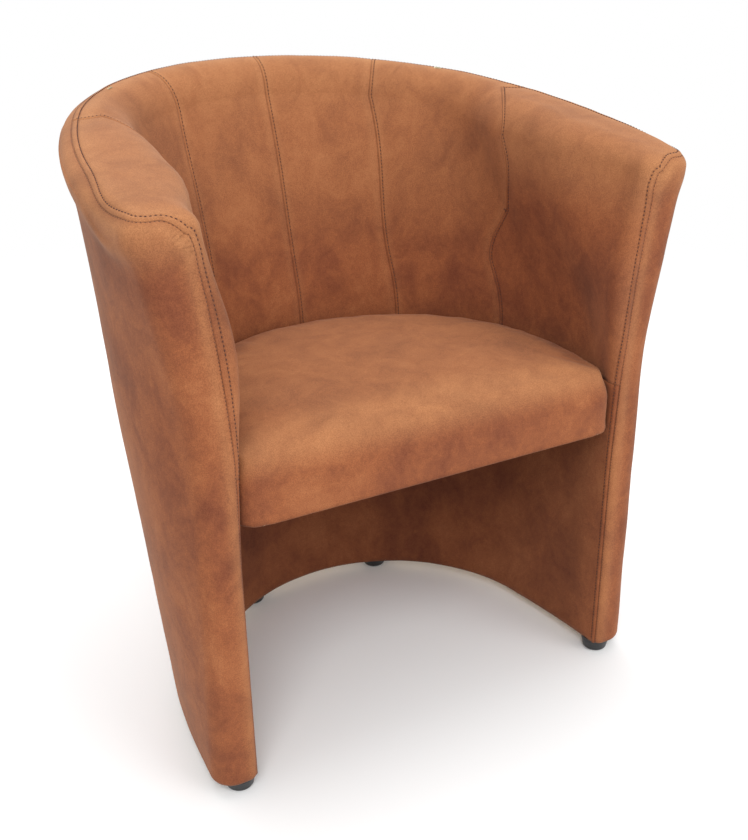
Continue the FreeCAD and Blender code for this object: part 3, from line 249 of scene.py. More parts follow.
def seamRunOf(up, run):
    # where the main seam is along a row; above the arm front it passes the corner's outer end
    front = wallPoints(alongSteps, up)[frontSteps]
    height = front[stretchSteps // 2, 2]
    low = np.interp(-np.interp(height, seamHeights, seamWidths), -front[:, 0], run[frontSteps])
    high = np.interp(-wall["seamTopWidth"], -front[:, 0], run[frontSteps]) + wall["seamCorner"][0]
    share = smoothStep(height, seamHeights[-2], wall["armHeight"] - 2)
    return low * (1 - share) + high * share


seamRun = np.array([seamRunOf(up, run) for up, run in zip(rowUp, rowRun)])
shoulderRow = 40
seamAcross, fullAcross = seamRun[shoulderRow], rowRun[shoulderRow][-1]
trueZone = 60


def runAt(across, row):
    # the length along one row of the wall, true near the main seam and scaled elsewhere
    knots = [0, seamAcross - trueZone, seamAcross + trueZone, fullAcross]
    return np.interp(across, knots, [0, seamRun[row] - trueZone, seamRun[row] + trueZone, rowRun[row][-1]])


def alongFor(across, up):
    # where the places across lie in the plan at their levels, negative on the left
    across, up = np.broadcast_arrays(np.asarray(across, float), np.asarray(up, float))
    reach, place = np.abs(across), np.clip(up, 0, 3) * shoulderRow / 2
    rows = np.minimum(place.astype(int), len(rowUp) - 2)
    along = np.zeros_like(reach)
    for row in np.unique(rows):
        here = rows == row
        found = [np.interp(runAt(reach[here], at), rowRun[at], alongSteps) for at in (row, row + 1)]
        share = place[here] - row
        along[here] = found[0] * (1 - share) + found[1] * share
    return np.where(across < 0, -1, 1) * along


# the main seam rises a little towards the sides and dips in an S behind the arm front's outer corner
seamWave = {"rise": 0.16, "riseAlong": (0.3, 1.2), "dip": 0.43, "dipPlace": -38, "dipWidth": 46}
cornerRuns = [-290, 0, 27, 52]


def seamUpAt(along):
    # the seam's level on the outer roll
    reach = np.abs(along)
    past = np.interp(reach, [1, 2, 3, 4], cornerRuns)
    dip = seamWave["dip"] * bump(past, seamWave["dipPlace"], seamWave["dipWidth"])
    return seamUp + seamWave["rise"] * smoothStep(reach, *seamWave["riseAlong"]) - dip


def wallAt(across, height):
    up = np.interp(height, upRun, upSteps)
    along = alongFor(across, up)
    return wallPoints(along, up + (seamUpAt(along) - seamUp) * smoothStep(up, 1.7, seamUp))


def acrossOf(along, up):
    # the place across of a place in the plan
    places = np.linspace(0, fullAcross, 4000)
    return float(np.interp(along, alongFor(places, up), places))


def heightOf(up):
    return float(np.interp(up, upSteps, upRun))


seamHeight, footHeight = heightOf(seamUp), heightOf(footUp)
footSeamAlong = float(alongFor(seamAcross, footUp))
outerCornerAlong, edgeCrownAlong, innerEdgeAlong = 2.5, 2, 4.97


def roundSeamCorner(across, height):
    # the seam turns round the corner of the arm front: bends the grid's corner into a quarter ellipse
    wide, tall = wall["seamCorner"]
    x = np.clip(np.abs(across) - (seamAcross - wide), 0, wide)
    y = np.clip(height - (seamHeight - tall), 0, tall)
    newX = x * np.sqrt(1 - y**2 / (2 * tall**2))
    newY = y * np.sqrt(1 - x**2 / (2 * wide**2))
    return across + (newX - x) * np.sign(across), height + newY - y


def seamCornerAt(turn):
    # places across and up along the quarter ellipse of the seam's corner
    wide, tall = wall["seamCorner"]
    return seamAcross - wide * (1 - np.cos(turn)), seamHeight - tall * (1 - np.sin(turn))


def frontProfile(side):
    # points up the seam on an arm front, and round its corner to the outer corner
    wide, tall = wall["seamCorner"]
    face = wallAt(side * seamAcross, np.linspace(footHeight, seamHeight - tall, 80))
    cornerAcross, cornerHeight = seamCornerAt(np.linspace(0, math.pi / 2, 24))
    level = np.linspace(seamAcross - wide, acrossOf(outerCornerAlong, seamUp), 30)[1:]
    across = np.concatenate([cornerAcross, level])
    height = np.concatenate([cornerHeight, seamHeight + 0 * level])
    return face, wallAt(side * across, height)


def mainLine():
    # the main seam from the hem of the left arm front over the rim to the hem of the right one
    halves = []
    for side in (-1, 1):
        low = wallAt(side * seamAcross, np.linspace(0, footHeight, 60))
        face, over = frontProfile(side)
        along = np.linspace(outerCornerAlong, 1e-6, 400)
        level = wallPoints(side * along, seamUpAt(along))
        halves.append(np.concatenate([low[:-1], face[:-1], over[:-1], level]))
    return np.concatenate([halves[0], halves[1][-2::-1]])


# Meshes


def graded(length, startOffsets, endOffsets, step):
    # places along a length: fixed ones near both ends and even steps between
    first, last = startOffsets[-1], length - endOffsets[-1]
    count = max(2, int(round((last - first) / step)))
    middle = np.linspace(first, last, count + 1)[1:-1]
    return np.concatenate([startOffsets, middle, length - np.array(endOffsets)[::-1]])


def unit(vectors):
    return vectors / np.maximum(np.linalg.norm(vectors, axis=-1, keepdims=True), 1e-9)


def gridNormals(points):
    return unit(np.cross(np.gradient(points, axis=1), np.gradient(points, axis=0)))


def gridFaces(rows, columns):
    index = np.arange(rows * columns).reshape(rows, columns)
    corners = [index[:-1, :-1], index[:-1, 1:], index[1:, 1:], index[1:, :-1]]
    return np.stack([corner.ravel() for corner in corners], axis=1)


def addObject(name, data):
    item = bpy.data.objects.new(name, data)
    bpy.context.collection.objects.link(item)
    return item


def makeObject(name, points, faces, smooth=True):
    mesh = bpy.data.meshes.new(name)
    mesh.from_pydata((np.asarray(points) * mm).tolist(), [], np.asarray(faces).tolist())
    mesh.validate()
    if smooth:
        mesh.polygons.foreach_set("use_smooth", [True] * len(mesh.polygons))
    return addObject(name, mesh)


def readVectors(source, name):
    values = np.empty(len(source) * 3)
    source.foreach_get(name, values)
    return values.reshape(-1, 3)


def readPoints(item):
    return readVectors(item.data.vertices, "co") / mm


def writePoints(item, points):
    item.data.vertices.foreach_set("co", (points * mm).ravel())
    item.data.update()


def readNormals(item):
    return readVectors(item.data.vertex_normals, "vector")


def setValues(item, name, values):
    layer = item.data.attributes.new(name, "FLOAT", "POINT")
    layer.data.foreach_set("value", np.asarray(values, float).ravel())


def waves(points, size, seed):
    # soft unevenness between -1 and 1 over this many millimetres
    shift = Vector((seed * 7.3, seed * 3.1, seed * 5.7))
    flat = points.reshape(-1, 3) / size
    values = [noise.noise(Vector(point) + shift) for point in flat]
    return np.array(values).reshape(points.shape[:-1])


def pointTree(points):
    tree = KDTree(len(points))
    for index, point in enumerate(points):
        tree.insert(point, index)
    tree.balance()
    return tree


lineStep = 0.8


def nearestOn(lines, points):
    # the distance of each point from the lines, and the place of its nearest one along them
    dense = [resample(line, np.arange(0, lengths(line)[-1], lineStep)) for line in lines]
    tree = pointTree(np.concatenate(dense))
    found = [tree.find(point)[1:] for point in points.reshape(-1, 3)]
    indices, away = (np.array(column).reshape(points.shape[:-1]) for column in zip(*found))
    return away, lineStep * indices


def distancesTo(lines, points):
    return nearestOn(lines, points)[0]


def thicken(item, thickness):
    solid = item.modifiers.new("thickness", "SOLIDIFY")
    solid.thickness = thickness * mm
    solid.offset = -1
    solid.use_even_offset = False


def sewnPiece(name, shaped, faces, paintedShade, wearAndHighlight, thickness):
    # cloth of this thickness, with its painted shade and its wear, which also carries a painted highlight
    item = makeObject(name, shaped.reshape(-1, 3), faces)
    setValues(item, "paintedShade", np.clip(paintedShade, 0, 1))
    setValues(item, "wearAndHighlight", wearAndHighlight)
    thicken(item, thickness)
    return item


def bake(item):
    # the object's modifiers become its mesh
    mesh = bpy.data.meshes.new_from_object(item.evaluated_get(bpy.context.evaluated_depsgraph_get()))
    item.modifiers.clear()
    item.data = mesh


# Materials


def nodeMaterial(name, viewColour):
    material = bpy.data.materials.new(name)
    material.use_nodes = True
    material.diffuse_color = (*viewColour, 1)
    nodes, links = material.node_tree.nodes, material.node_tree.links
    shader = nodes["Principled BSDF"]
    coordinates = nodes.new("ShaderNodeTexCoord").outputs["Object"]
    return material, nodes, links, shader, coordinates


def noiseNode(nodes, links, coordinates, scale, detail, roughness=0.5, distortion=0, stretch=(1, 1, 1)):
    mapping = nodes.new("ShaderNodeMapping")
    mapping.inputs["Scale"].default_value = stretch
    texture = nodes.new("ShaderNodeTexNoise")
    texture.inputs["Scale"].default_value = scale
    texture.inputs["Detail"].default_value = detail
    texture.inputs["Roughness"].default_value = roughness
    texture.inputs["Distortion"].default_value = distortion
    links.new(coordinates, mapping.inputs["Vector"])
    links.new(mapping.outputs["Vector"], texture.inputs["Vector"])
    return texture.outputs["Fac"]


def mathNode(nodes, links, operation, first, second, clamp=False):
    node = nodes.new("ShaderNodeMath")
    node.operation = operation
    node.use_clamp = clamp
    for socket, value in zip(node.inputs, (first, second)):
        if isinstance(value, (int, float)):
            socket.default_value = value
        else:
            links.new(value, socket)
    return node.outputs[0]


def rampNode(nodes, links, value, stops):
    ramp = nodes.new("ShaderNodeValToRGB")
    elements = ramp.color_ramp.elements
    elements[0].position, elements[0].color = stops[0][0], (*stops[0][1], 1)
    elements[1].position, elements[1].color = stops[-1][0], (*stops[-1][1], 1)
    for place, colour in stops[1:-1]:
        elements.new(place).color = (*colour, 1)
    links.new(value, ramp.inputs["Fac"])
    return ramp.outputs["Color"]


def mixNode(nodes, links, blend, share, first, second):
    mix = nodes.new("ShaderNodeMix")
    mix.data_type = "RGBA"
    mix.blend_type = blend
    mix.clamp_factor = True
    for socket, value in ((mix.inputs["Factor"], share), (mix.inputs[6], first), (mix.inputs[7], second)):
        if isinstance(value, (int, float, tuple)):
            socket.default_value = value
        else:
            links.new(value, socket)
    return mix.outputs[2]


def attributeNode(nodes, name):
    node = nodes.new("ShaderNodeAttribute")
    node.attribute_name = name
    return node.outputs["Fac"]


def addRelief(nodes, links, shader, height, strength, distance):
    relief = nodes.new("ShaderNodeBump")
    relief.inputs["Strength"].default_value = strength
    relief.inputs["Distance"].default_value = distance
    links.new(height, relief.inputs["Height"])
    links.new(relief.outputs["Normal"], shader.inputs["Normal"])


suedeLook = {
    "dark": (0.125, 0.034, 0.017),
    "deep": (0.205, 0.062, 0.027),
    "cognac": (0.285, 0.093, 0.036),
    "tan": (0.385, 0.145, 0.058),
    # the pale tone of wear with a painted highlight, then the tint of painted shade
    "wornAndLit": (0.470, 0.215, 0.092),
    "paintedShade": (0.30, 0.22, 0.20),
    "sheen": (0.95, 0.72, 0.52),
    "cloudScale": 7,
    "patchScale": 26,
    "fleckScale": 150,
    "grainScale": 900,
}


def makeSuede(name, look):
    # mottled suede: clouds, patches and flecks of brown, paler with wear and a painted highlight, and
    # darker with painted shade in seams, folds and recesses
    material, nodes, links, shader, coordinates = nodeMaterial(name, look["cognac"])
    cloud = noiseNode(nodes, links, coordinates, look["cloudScale"], 4, 0.6, 0.4)
    patch = noiseNode(nodes, links, coordinates, look["patchScale"], 6, 0.65, 0.8, (1, 1, 0.7))
    fleck = noiseNode(nodes, links, coordinates, look["fleckScale"], 5, 0.7)
    grain = noiseNode(nodes, links, coordinates, look["grainScale"], 3, 0.6)

    mottle = mathNode(nodes, links, "MULTIPLY", cloud, 0.46)
    mottle = mathNode(nodes, links, "ADD", mottle, mathNode(nodes, links, "MULTIPLY", patch, 0.36))
    mottle = mathNode(nodes, links, "ADD", mottle, mathNode(nodes, links, "MULTIPLY", fleck, 0.18))
    stops = [(0.30, look["dark"]), (0.43, look["deep"]), (0.54, look["cognac"]), (0.70, look["tan"])]
    colour = rampNode(nodes, links, mottle, stops)

    # wear, which also carries a painted highlight on the lit upper faces, pales the colour
    uneven = mathNode(nodes, links, "ADD", patch, 0.45)
    wearAndHighlight = mathNode(nodes, links, "MULTIPLY", attributeNode(nodes, "wearAndHighlight"), uneven)
    colour = mixNode(nodes, links, "MIX", wearAndHighlight, colour, (*look["wornAndLit"], 1))
    speck = rampNode(nodes, links, grain, [(0.38, (0.72, 0.68, 0.66)), (0.62, (1.12, 1.1, 1.08))])
    colour = mixNode(nodes, links, "MULTIPLY", 0.8, colour, speck)
    # painted shade darkens the seams, stitch rows, fold valleys, hem, seat foot and the lining under the
    # seat
    paintedShade = attributeNode(nodes, "paintedShade")
    colour = mixNode(nodes, links, "MULTIPLY", paintedShade, colour, (*look["paintedShade"], 1))
    links.new(colour, shader.inputs["Base Color"])

    shader.inputs["Roughness"].default_value = 0.88
    shader.inputs["Specular IOR Level"].default_value = 0.22
    shader.inputs["Sheen Weight"].default_value = 0.12
    shader.inputs["Sheen Roughness"].default_value = 0.45
    shader.inputs["Sheen Tint"].default_value = (*look["sheen"], 1)

    height = mathNode(nodes, links, "ADD", mathNode(nodes, links, "MULTIPLY", grain, 0.6), fleck)
    addRelief(nodes, links, shader, height, 0.35, 0.0006)
    return material


def makePlain(name, colour, roughness, metallic=0, scale=60, stretch=(1, 1, 1), spread=0.15, relief=0.0002):
    # a plain finish with a little unevenness of tone and surface
    material, nodes, links, shader, coordinates = nodeMaterial(name, colour)
    tone = noiseNode(nodes, links, coordinates, scale, 5, 0.6, 0.3, stretch)
    low = tuple(part * (1 - spread) for part in colour)
    high = tuple(min(1, part * (1 + spread)) for part in colour)
    links.new(rampNode(nodes, links, tone, [(0.35, low), (0.65, high)]), shader.inputs["Base Color"])
    shader.inputs["Roughness"].default_value = roughness
    shader.inputs["Metallic"].default_value = metallic
    addRelief(nodes, links, shader, tone, 0.4, relief)
    return material


suede = makeSuede("suede", suedeLook)
threadFinish = makePlain("thread", (0.072, 0.020, 0.011), 0.7, scale=900)
slotFinishes = {
    "plywood": makePlain("plywood", (0.62, 0.44, 0.26), 0.6, scale=30, stretch=(1, 1, 14), spread=0.25),
    "hardboard": makePlain("hardboard", (0.33, 0.20, 0.11), 0.75, scale=220),
    "foam": makePlain("foam", (0.80, 0.72, 0.48), 0.95, scale=400, spread=0.08),
    "wadding": makePlain("wadding", (0.85, 0.85, 0.82), 0.95, scale=120, spread=0.06),
    "felt": makePlain("felt", (0.20, 0.20, 0.21), 0.95, scale=500, spread=0.3),
    "dust_cloth": makePlain("dust_cloth", (0.025, 0.024, 0.024), 0.9, scale=700, spread=0.4),
    "spring_steel": makePlain("spring_steel", (0.30, 0.30, 0.31), 0.35, metallic=1, scale=90),
    "plated_steel": makePlain("plated_steel", (0.62, 0.62, 0.60), 0.3, metallic=1, scale=120),
    "black_plastic": makePlain("black_plastic", (0.018, 0.018, 0.019), 0.42, scale=260, spread=0.2),
}
for slotName, finish in slotFinishes.items():
    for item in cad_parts.values():
        for place in item.material_slots:
            if place.material and place.material.name.split(".")[0] == slotName:
                place.material = finish


def dress(item, finish):
    item.data.materials.clear()
    item.data.materials.append(finish)
    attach(item, "root")
    return item


# Stitches: short lengths of thread laid in a row, each with sunk ends

# the rings of a stitch: their places along it, and their girth and rise for a thread of radius 1
ringPlaces = np.array([0, 0.18, 0.5, 0.82, 1])
ringGirth = np.array([0.45, 0.9, 1, 0.9, 0.45])
ringRise = np.array([-0.9, 0.2, 0.7, 0.2, -0.9])
ringSides = 6
stitchLook = {"pitch": 4.7, "length": 2.8, "radius": 0.62, "rise": 0.1, "unevenness": 0.15}
seamLook = {"pitch": 4.2, "length": 2.6, "radius": 0.36, "rise": -0.2, "unevenness": 0.15}


def makeThread(name, paths, look):
    # rows of stitches along paths, each of them its points and the outward directions there
    girth = ringGirth * look["radius"]
    rise = ringRise * look["radius"] + look["rise"]
    turn = np.arange(ringSides) * 2 * math.pi / ringSides
    cosine, sine = np.cos(turn)[None, :, None], np.sin(turn)[None, :, None]
    stitches = []
    for points, outward in paths:
        run = lengths(points)
        starts = np.arange(look["pitch"] / 2, run[-1] - look["pitch"], look["pitch"])
        for start in starts + rng.uniform(-look["unevenness"], look["unevenness"], len(starts)):
            places = start + ringPlaces * look["length"]
            middle = resample(points, places)
            normal = np.stack([np.interp(places, run, outward[:, axis]) for axis in range(3)], axis=1)
            forward = middle[-1] - middle[0]
            across = unit(np.cross(unit(forward), normal))
            rings = cosine * across[:, None] + sine * normal[:, None]
            centres = middle + normal * rise[:, None]
            stitches.append((centres[:, None] + rings * girth[:, None, None]).reshape(-1, 3))
    near = np.arange(len(ringPlaces) * ringSides).reshape(-1, ringSides)
    beside = np.roll(near, -1, axis=1)
    tube = np.stack([near[:-1], beside[:-1], beside[1:], near[1:]], axis=-1).reshape(-1, 4)
    faces = tube + near.size * np.arange(len(stitches))[:, None, None]
    return makeObject(name, np.concatenate(stitches), faces.reshape(-1, 4))


# Outer cover: one piece from hem to main seam, round both arm fronts

outerLook = {
    "step": 6,
    "edgeOffsets": [0.15, 1, 2, 3.2, 4.6, 6.2, 7.8, *np.arange(9.4, 34, 1.6).tolist(), 36, 40, 46],
    "hemOffsets": [0, 1, 2.5, 5, 9],
    "rollPlace": 27,
    "rollWidth": 21,
    "rollSize": 2.2,
    "leftRollSize": 6.0,
    "leftZone": (190, 290),
    "seamDepth": 0.4,
    "hemRound": 2.2,
    "gatherSize": 0.55,
    "gatherPitch": 5.2,
    "gatherLean": 0.3,
    "gatherRun": (-30, 8),
    "gatherFade": 6,
    "rightGathers": 0.5,
    "gatherLength": 28,
    "unevenness": 0.9,
    "thickness": 1.5,
}


def makeOuterCover(look):
    half = graded(seamAcross, [0, look["step"]], look["edgeOffsets"], look["step"])
    across = np.concatenate([-half[::-1], half[1:]])
    heights = graded(seamHeight, look["hemOffsets"], look["edgeOffsets"], look["step"])
    gridAcross, gridHeight = np.meshgrid(across, heights)
    gridAcross, gridHeight = roundSeamCorner(gridAcross, gridHeight)
    points = wallAt(gridAcross, gridHeight)
    normals = -gridNormals(points)

    seam = mainLine()
    toSeam, seamPlace = nearestOn([seam], points)
    below = seamHeight - gridHeight
    leftSide = smoothStep(-points[..., 0], *look["leftZone"])
    roll = look["rollSize"] + (look["leftRollSize"] - look["rollSize"]) * leftSide
    move = roll * bump(below, look["rollPlace"], look["rollWidth"]) * smoothStep(toSeam, 0, 14)
    move -= look["seamDepth"] * bump(toSeam, 0, 1.6)
    move -= look["hemRound"] * np.clip(1 - gridHeight / 6, 0, 1) ** 2
    move += look["unevenness"] * waves(points, 95, 1) * smoothStep(toSeam, 0, 30)
    move += 0.35 * look["unevenness"] * waves(points, 33, 2) * smoothStep(toSeam, 0, 20)

    # small gathers where the cover is eased round the corner of the arm front
    cornerAcross, cornerHeight = seamCornerAt(math.pi / 4)
    folds = np.zeros_like(move)
    for side in (-1, 1):
        cornerPlace = nearestOn([seam], wallAt(side * cornerAcross, cornerHeight)[None])[1][0]
        past = (cornerPlace - seamPlace) * side
        low, high = look["gatherRun"]
        fade = look["gatherFade"]
        inFolds = smoothStep(past, low - fade, low + fade) - smoothStep(past, high - fade, high + fade)
        phase = (past - look["gatherLean"] * toSeam) / look["gatherPitch"]
        depth = inFolds * (1 if side < 0 else look["rightGathers"])
        folds += np.sin(2 * math.pi * phase + 1.2 * waves(points, 22, 4)) * depth
    folds *= smoothStep(toSeam, 0.5, 4) * (1 - smoothStep(toSeam, 8, look["gatherLength"]))
    move += look["gatherSize"] * folds

    shaped = points + normals * move[..., None]
    # painted shade along the main seam, at the hem and in the valleys of the gathers; wear and a painted
    # highlight on the crown and the lit upper roll
    paintedShade = 0.3 * bump(toSeam, 0, 0.7) + 0.3 * bump(gridHeight, 0, 5) + 0.3 * np.clip(-folds, 0, 1)
    wearAndHighlight = 0.35 * bump(toSeam, 7, 8) + 0.4 * bump(below, 22, 26)
    faces = gridFaces(*toSeam.shape)[:, ::-1]
    item = sewnPiece("outerCover", shaped, faces, paintedShade, wearAndHighlight, look["thickness"])

    # the thread of the main seam lies on this side of it
    last = len(heights) - 2
    left, top, right = shaped[:last, 1], shaped[last, 1:-1], shaped[last - 1 :: -1, -2]
    outLeft, outTop, outRight = normals[:last, 1], normals[last, 1:-1], normals[last - 1 :: -1, -2]
    return item, (np.concatenate([left, top, right]), np.concatenate([outLeft, outTop, outRight]))


# Inner panels: six sewn channels that run from the seat up and over the rim to the main seam

# where each channel seam passes the foot, the shoulder and both edges of the crown, in the wall's plan
seams = {"outer": (6.2, 5.77, 5.98, 1.04), "inner": (6.62, 6.554, 6.554, 0.446), "middle": (7, 7, 7, 1e-6)}
seamTurnUp = (1.2, 1.92)
panelLook = {
    "edgeOffsets": [0.12, 0.7, 1.4, 2.2, 2.9, 3.5, 4.2, 4.9, 5.6, 6.3, 7, 7.7, 8.5, 10, 13, 16, 20, 25],
    "step": 5.5,
    "faceStep": 5.5,
    "rollStep": 2,
    "headOffsets": [0.12, 0.9, 1.8, 2.8, 4, 5.2, 6.2, 7, 7.8, 9, 11, 13],
    "strip": 20,
    "bulge": 2.6,
    "bulgeWidth": 26,
    "seamDepth": 0.9,
    "seamWidth": 1.3,
    "mainDepth": 0.35,
    "ridge": 0.45,
    "stitchDepth": 0.6,
    "thickness": 5,
    "unevenness": 0.8,
}
channelStitch = 4.2
mainStitch = 7


def overRim(innerRoll, outerRoll, count):
    # both rolls as one line, joined over the crown
    crown = innerRoll[-1] + (outerRoll[0] - innerRoll[-1]) * np.linspace(0, 1, count)[:, None]
    return np.concatenate([innerRoll, crown[1:-1], outerRoll])


def channelProfile(side, places):
    # points up a channel seam to the shoulder, and from there over the rim to the main seam
    foot, shoulder, crownIn, crownOut = places
    up = np.linspace(footUp, 2, 90)
    face = wallPoints(side * (foot + (shoulder - foot) * smoothStep(up, *seamTurnUp)), up)
    turn = np.linspace(0, math.pi / 2, 24)
    along = shoulder + (crownIn - shoulder) * (1 - np.cos(turn))
    innerRoll = wallPoints(side * along, 2 + turn / (math.pi / 2))
    outerRoll = wallPoints(side * crownOut, np.linspace(3, float(seamUpAt(crownOut)), 16))
    return face, overRim(innerRoll, outerRoll, 12)


def edgeProfile(side):
    # points up the inner edge of an arm front, over the rim and out to the main seam behind the corner
    up = np.linspace(footUp, 2, 90)
    face = wallPoints(side * innerEdgeAlong, up)
    innerRoll = wallPoints(side * innerEdgeAlong, np.linspace(2, 3, 24))
    outerRoll = wallPoints(side * edgeCrownAlong, np.linspace(3, float(seamUpAt(edgeCrownAlong)), 16))
    return face, overRim(innerRoll, outerRoll, 12)


def wallTree():
    # the whole finished face of the wall, to lay the panels on
    up = np.concatenate([np.linspace(0, 0.9, 40), np.linspace(0.92, 1.08, 16), np.linspace(1.1, 2, 60)])
    up = np.concatenate([up, np.linspace(2.03, 3, 32)])
    parts = [np.linspace(0, 1, 110), np.linspace(1, 2, 60), np.linspace(2, 3, 24), np.linspace(3, 4, 20)]
    outerParts = np.concatenate([part[:-1] for part in parts] + [[4]])
    parts = [np.linspace(7, 6, 110)[:-1], np.linspace(6, 5, 60)[:-1], np.linspace(5, 4, 43)]
    innerParts = np.concatenate(parts)
    vertices, faces, start = [], [], 0
    for side in (-1, 1):
        for along in (outerParts, innerParts):
            gridAlong, gridUp = np.meshgrid(side * np.maximum(along, 1e-6), up)
            points = wallPoints(gridAlong, gridUp)
            vertices.append(points.reshape(-1, 3))
            faces.append(gridFaces(*gridUp.shape) + start)
            start += gridUp.size
        outerTop = wallPoints(side * np.maximum(outerParts, 1e-6), 3)
        innerTop = wallPoints(side * innerParts, 3)
        steps = np.linspace(0, 1, 8)[:, None, None]
        vertices.append((innerTop + (outerTop - innerTop) * steps).reshape(-1, 3))
        faces.append(gridFaces(8, len(outerParts)) + start)
        start += 8 * len(outerParts)
    return BVHTree.FromPolygons(np.concatenate(vertices).tolist(), np.concatenate(faces).tolist())


def laidOn(tree, points):
    found = [tree.find_nearest(Vector(point))[0] for point in points.reshape(-1, 3)]
    return np.array(found).reshape(points.shape)


def evened(profile, faceCount, rollPlaces):
    # a profile's points at the panel's rows: even up the face, then at set shares over the rim
    face, over = profile
    low = resample(face, np.linspace(0, lengths(face)[-1], faceCount))
    return np.concatenate([low[:-1], resample(over, rollPlaces * lengths(over)[-1])])


def patch(first, last, footRow, headRow):
    # points between two side curves and two cross rows that share their corners
    rise = (lengths(first) / lengths(first)[-1])[:, None, None]
    shares = (lengths(footRow) / lengths(footRow)[-1])[None, :, None]
    points = (1 - shares) * first[:, None] + shares * last[:, None]
    points += (1 - rise) * footRow[None] + rise * headRow[None]
    points -= (1 - rise) * ((1 - shares) * first[0] + shares * last[0])
    return points - rise * ((1 - shares) * first[-1] + shares * last[-1])


def stretched(line, places):
    # the line's points at these places, scaled to its length
    return resample(line, (places - places[0]) / (places[-1] - places[0]) * lengths(line)[-1])


def makePanel(name, tree, profiles, feet, heads, look, plan):
    # a panel between profiles, with foot and head lines from each to the next, laid on the wall and stuffed
    faceCount = int(lengths(profiles[0][0])[-1] / look["faceStep"])
    rollLength = (lengths(profiles[0][1])[-1] + lengths(profiles[-1][1])[-1]) / 2
    rollPlaces = graded(rollLength, [0, look["rollStep"]], look["headOffsets"], look["rollStep"])
    rollPlaces = rollPlaces / rollLength
    curves = [evened(profile, faceCount, rollPlaces) for profile in profiles]
    width = sum(lengths(line)[-1] for line in (*feet, *heads)) / 2
    places = graded(width, look["edgeOffsets"], look["edgeOffsets"], look["step"])
    splits = [0, len(places) - 1]
    if len(profiles) == 3:
        strip = len(look["edgeOffsets"]) - 1 - look["edgeOffsets"].index(look["strip"])
        splits = [0, len(places) - len(look["edgeOffsets"]) + strip, len(places) - 1]
    patches = []
    for first, last, foot, head, low, high in zip(curves, curves[1:], feet, heads, splits, splits[1:]):
        between = places[low : high + 1]
        found = patch(first, last, stretched(foot, between), stretched(head, between))
        patches.append(found[:, 1:] if patches else found)
    points = laidOn(tree, np.concatenate(patches, axis=1))
    for step in range(plan.get("evening", 0)):
        beside = points[:-2, 1:-1] + points[2:, 1:-1] + points[1:-1, :-2] + points[1:-1, 2:]
        points[1:-1, 1:-1] = laidOn(tree, (points[1:-1, 1:-1] + beside / 4) / 2)

    normals = gridNormals(points) * plan["facing"]
    toChannel = distancesTo([np.concatenate(profile) for profile in plan["channels"]], points)
    toMain = distancesTo(plan["mains"], points)
    stuffing = (1 - bump(toChannel, 0, look["bulgeWidth"])) * (1 - bump(toMain, 0, 20))
    stuffing *= smoothStep(points[..., 2], wall["panelFoot"] + 20, wall["panelFoot"] + 90)
    move = look["bulge"] * stuffing
    move -= look["seamDepth"] * bump(toChannel, 0, look["seamWidth"])
    move -= look["mainDepth"] * bump(toMain, 0, 1.8)
    move -= look["stitchDepth"] * bump(toMain, mainStitch, 1)
    move += look["ridge"] * bump(toMain, mainStitch / 2, 1.8)
    stitched = np.zeros_like(move)
    if plan.get("stitched"):
        onSeam = distancesTo([np.concatenate(plan["stitched"])], points)
        stitched = bump(onSeam, channelStitch, 0.8)
        move += look["ridge"] * bump(onSeam, channelStitch / 2, 1.2) - look["stitchDepth"] * stitched
    fromFoot = smoothStep(points[..., 2], wall["panelFoot"], wall["panelFoot"] + 30)
    uneven = waves(points, 70, plan["seed"]) * smoothStep(toChannel, 2, 25)
    uneven += 0.4 * waves(points, 24, plan["seed"] + 9) * smoothStep(toChannel, 2, 16)
    move += look["unevenness"] * uneven * fromFoot

    shaped = points + normals * move[..., None]
    faces = gridFaces(*move.shape)
    turned = faces if plan["facing"] > 0 else faces[:, ::-1]
    # painted shade in the channel seams, the main seam and the stitch rows
    paintedShade = 0.32 * bump(toChannel, 0, 0.7) + 0.3 * bump(toMain, 0, 0.7) + 0.3 * stitched
    paintedShade += 0.25 * bump(toMain, mainStitch, 0.8)
    wearAndHighlight = plan["wearAndHighlight"](shaped, toChannel, toMain)
    item = sewnPiece(name, shaped, turned, paintedShade, wearAndHighlight, look["thickness"])
    return item, (shaped, normals, faces)


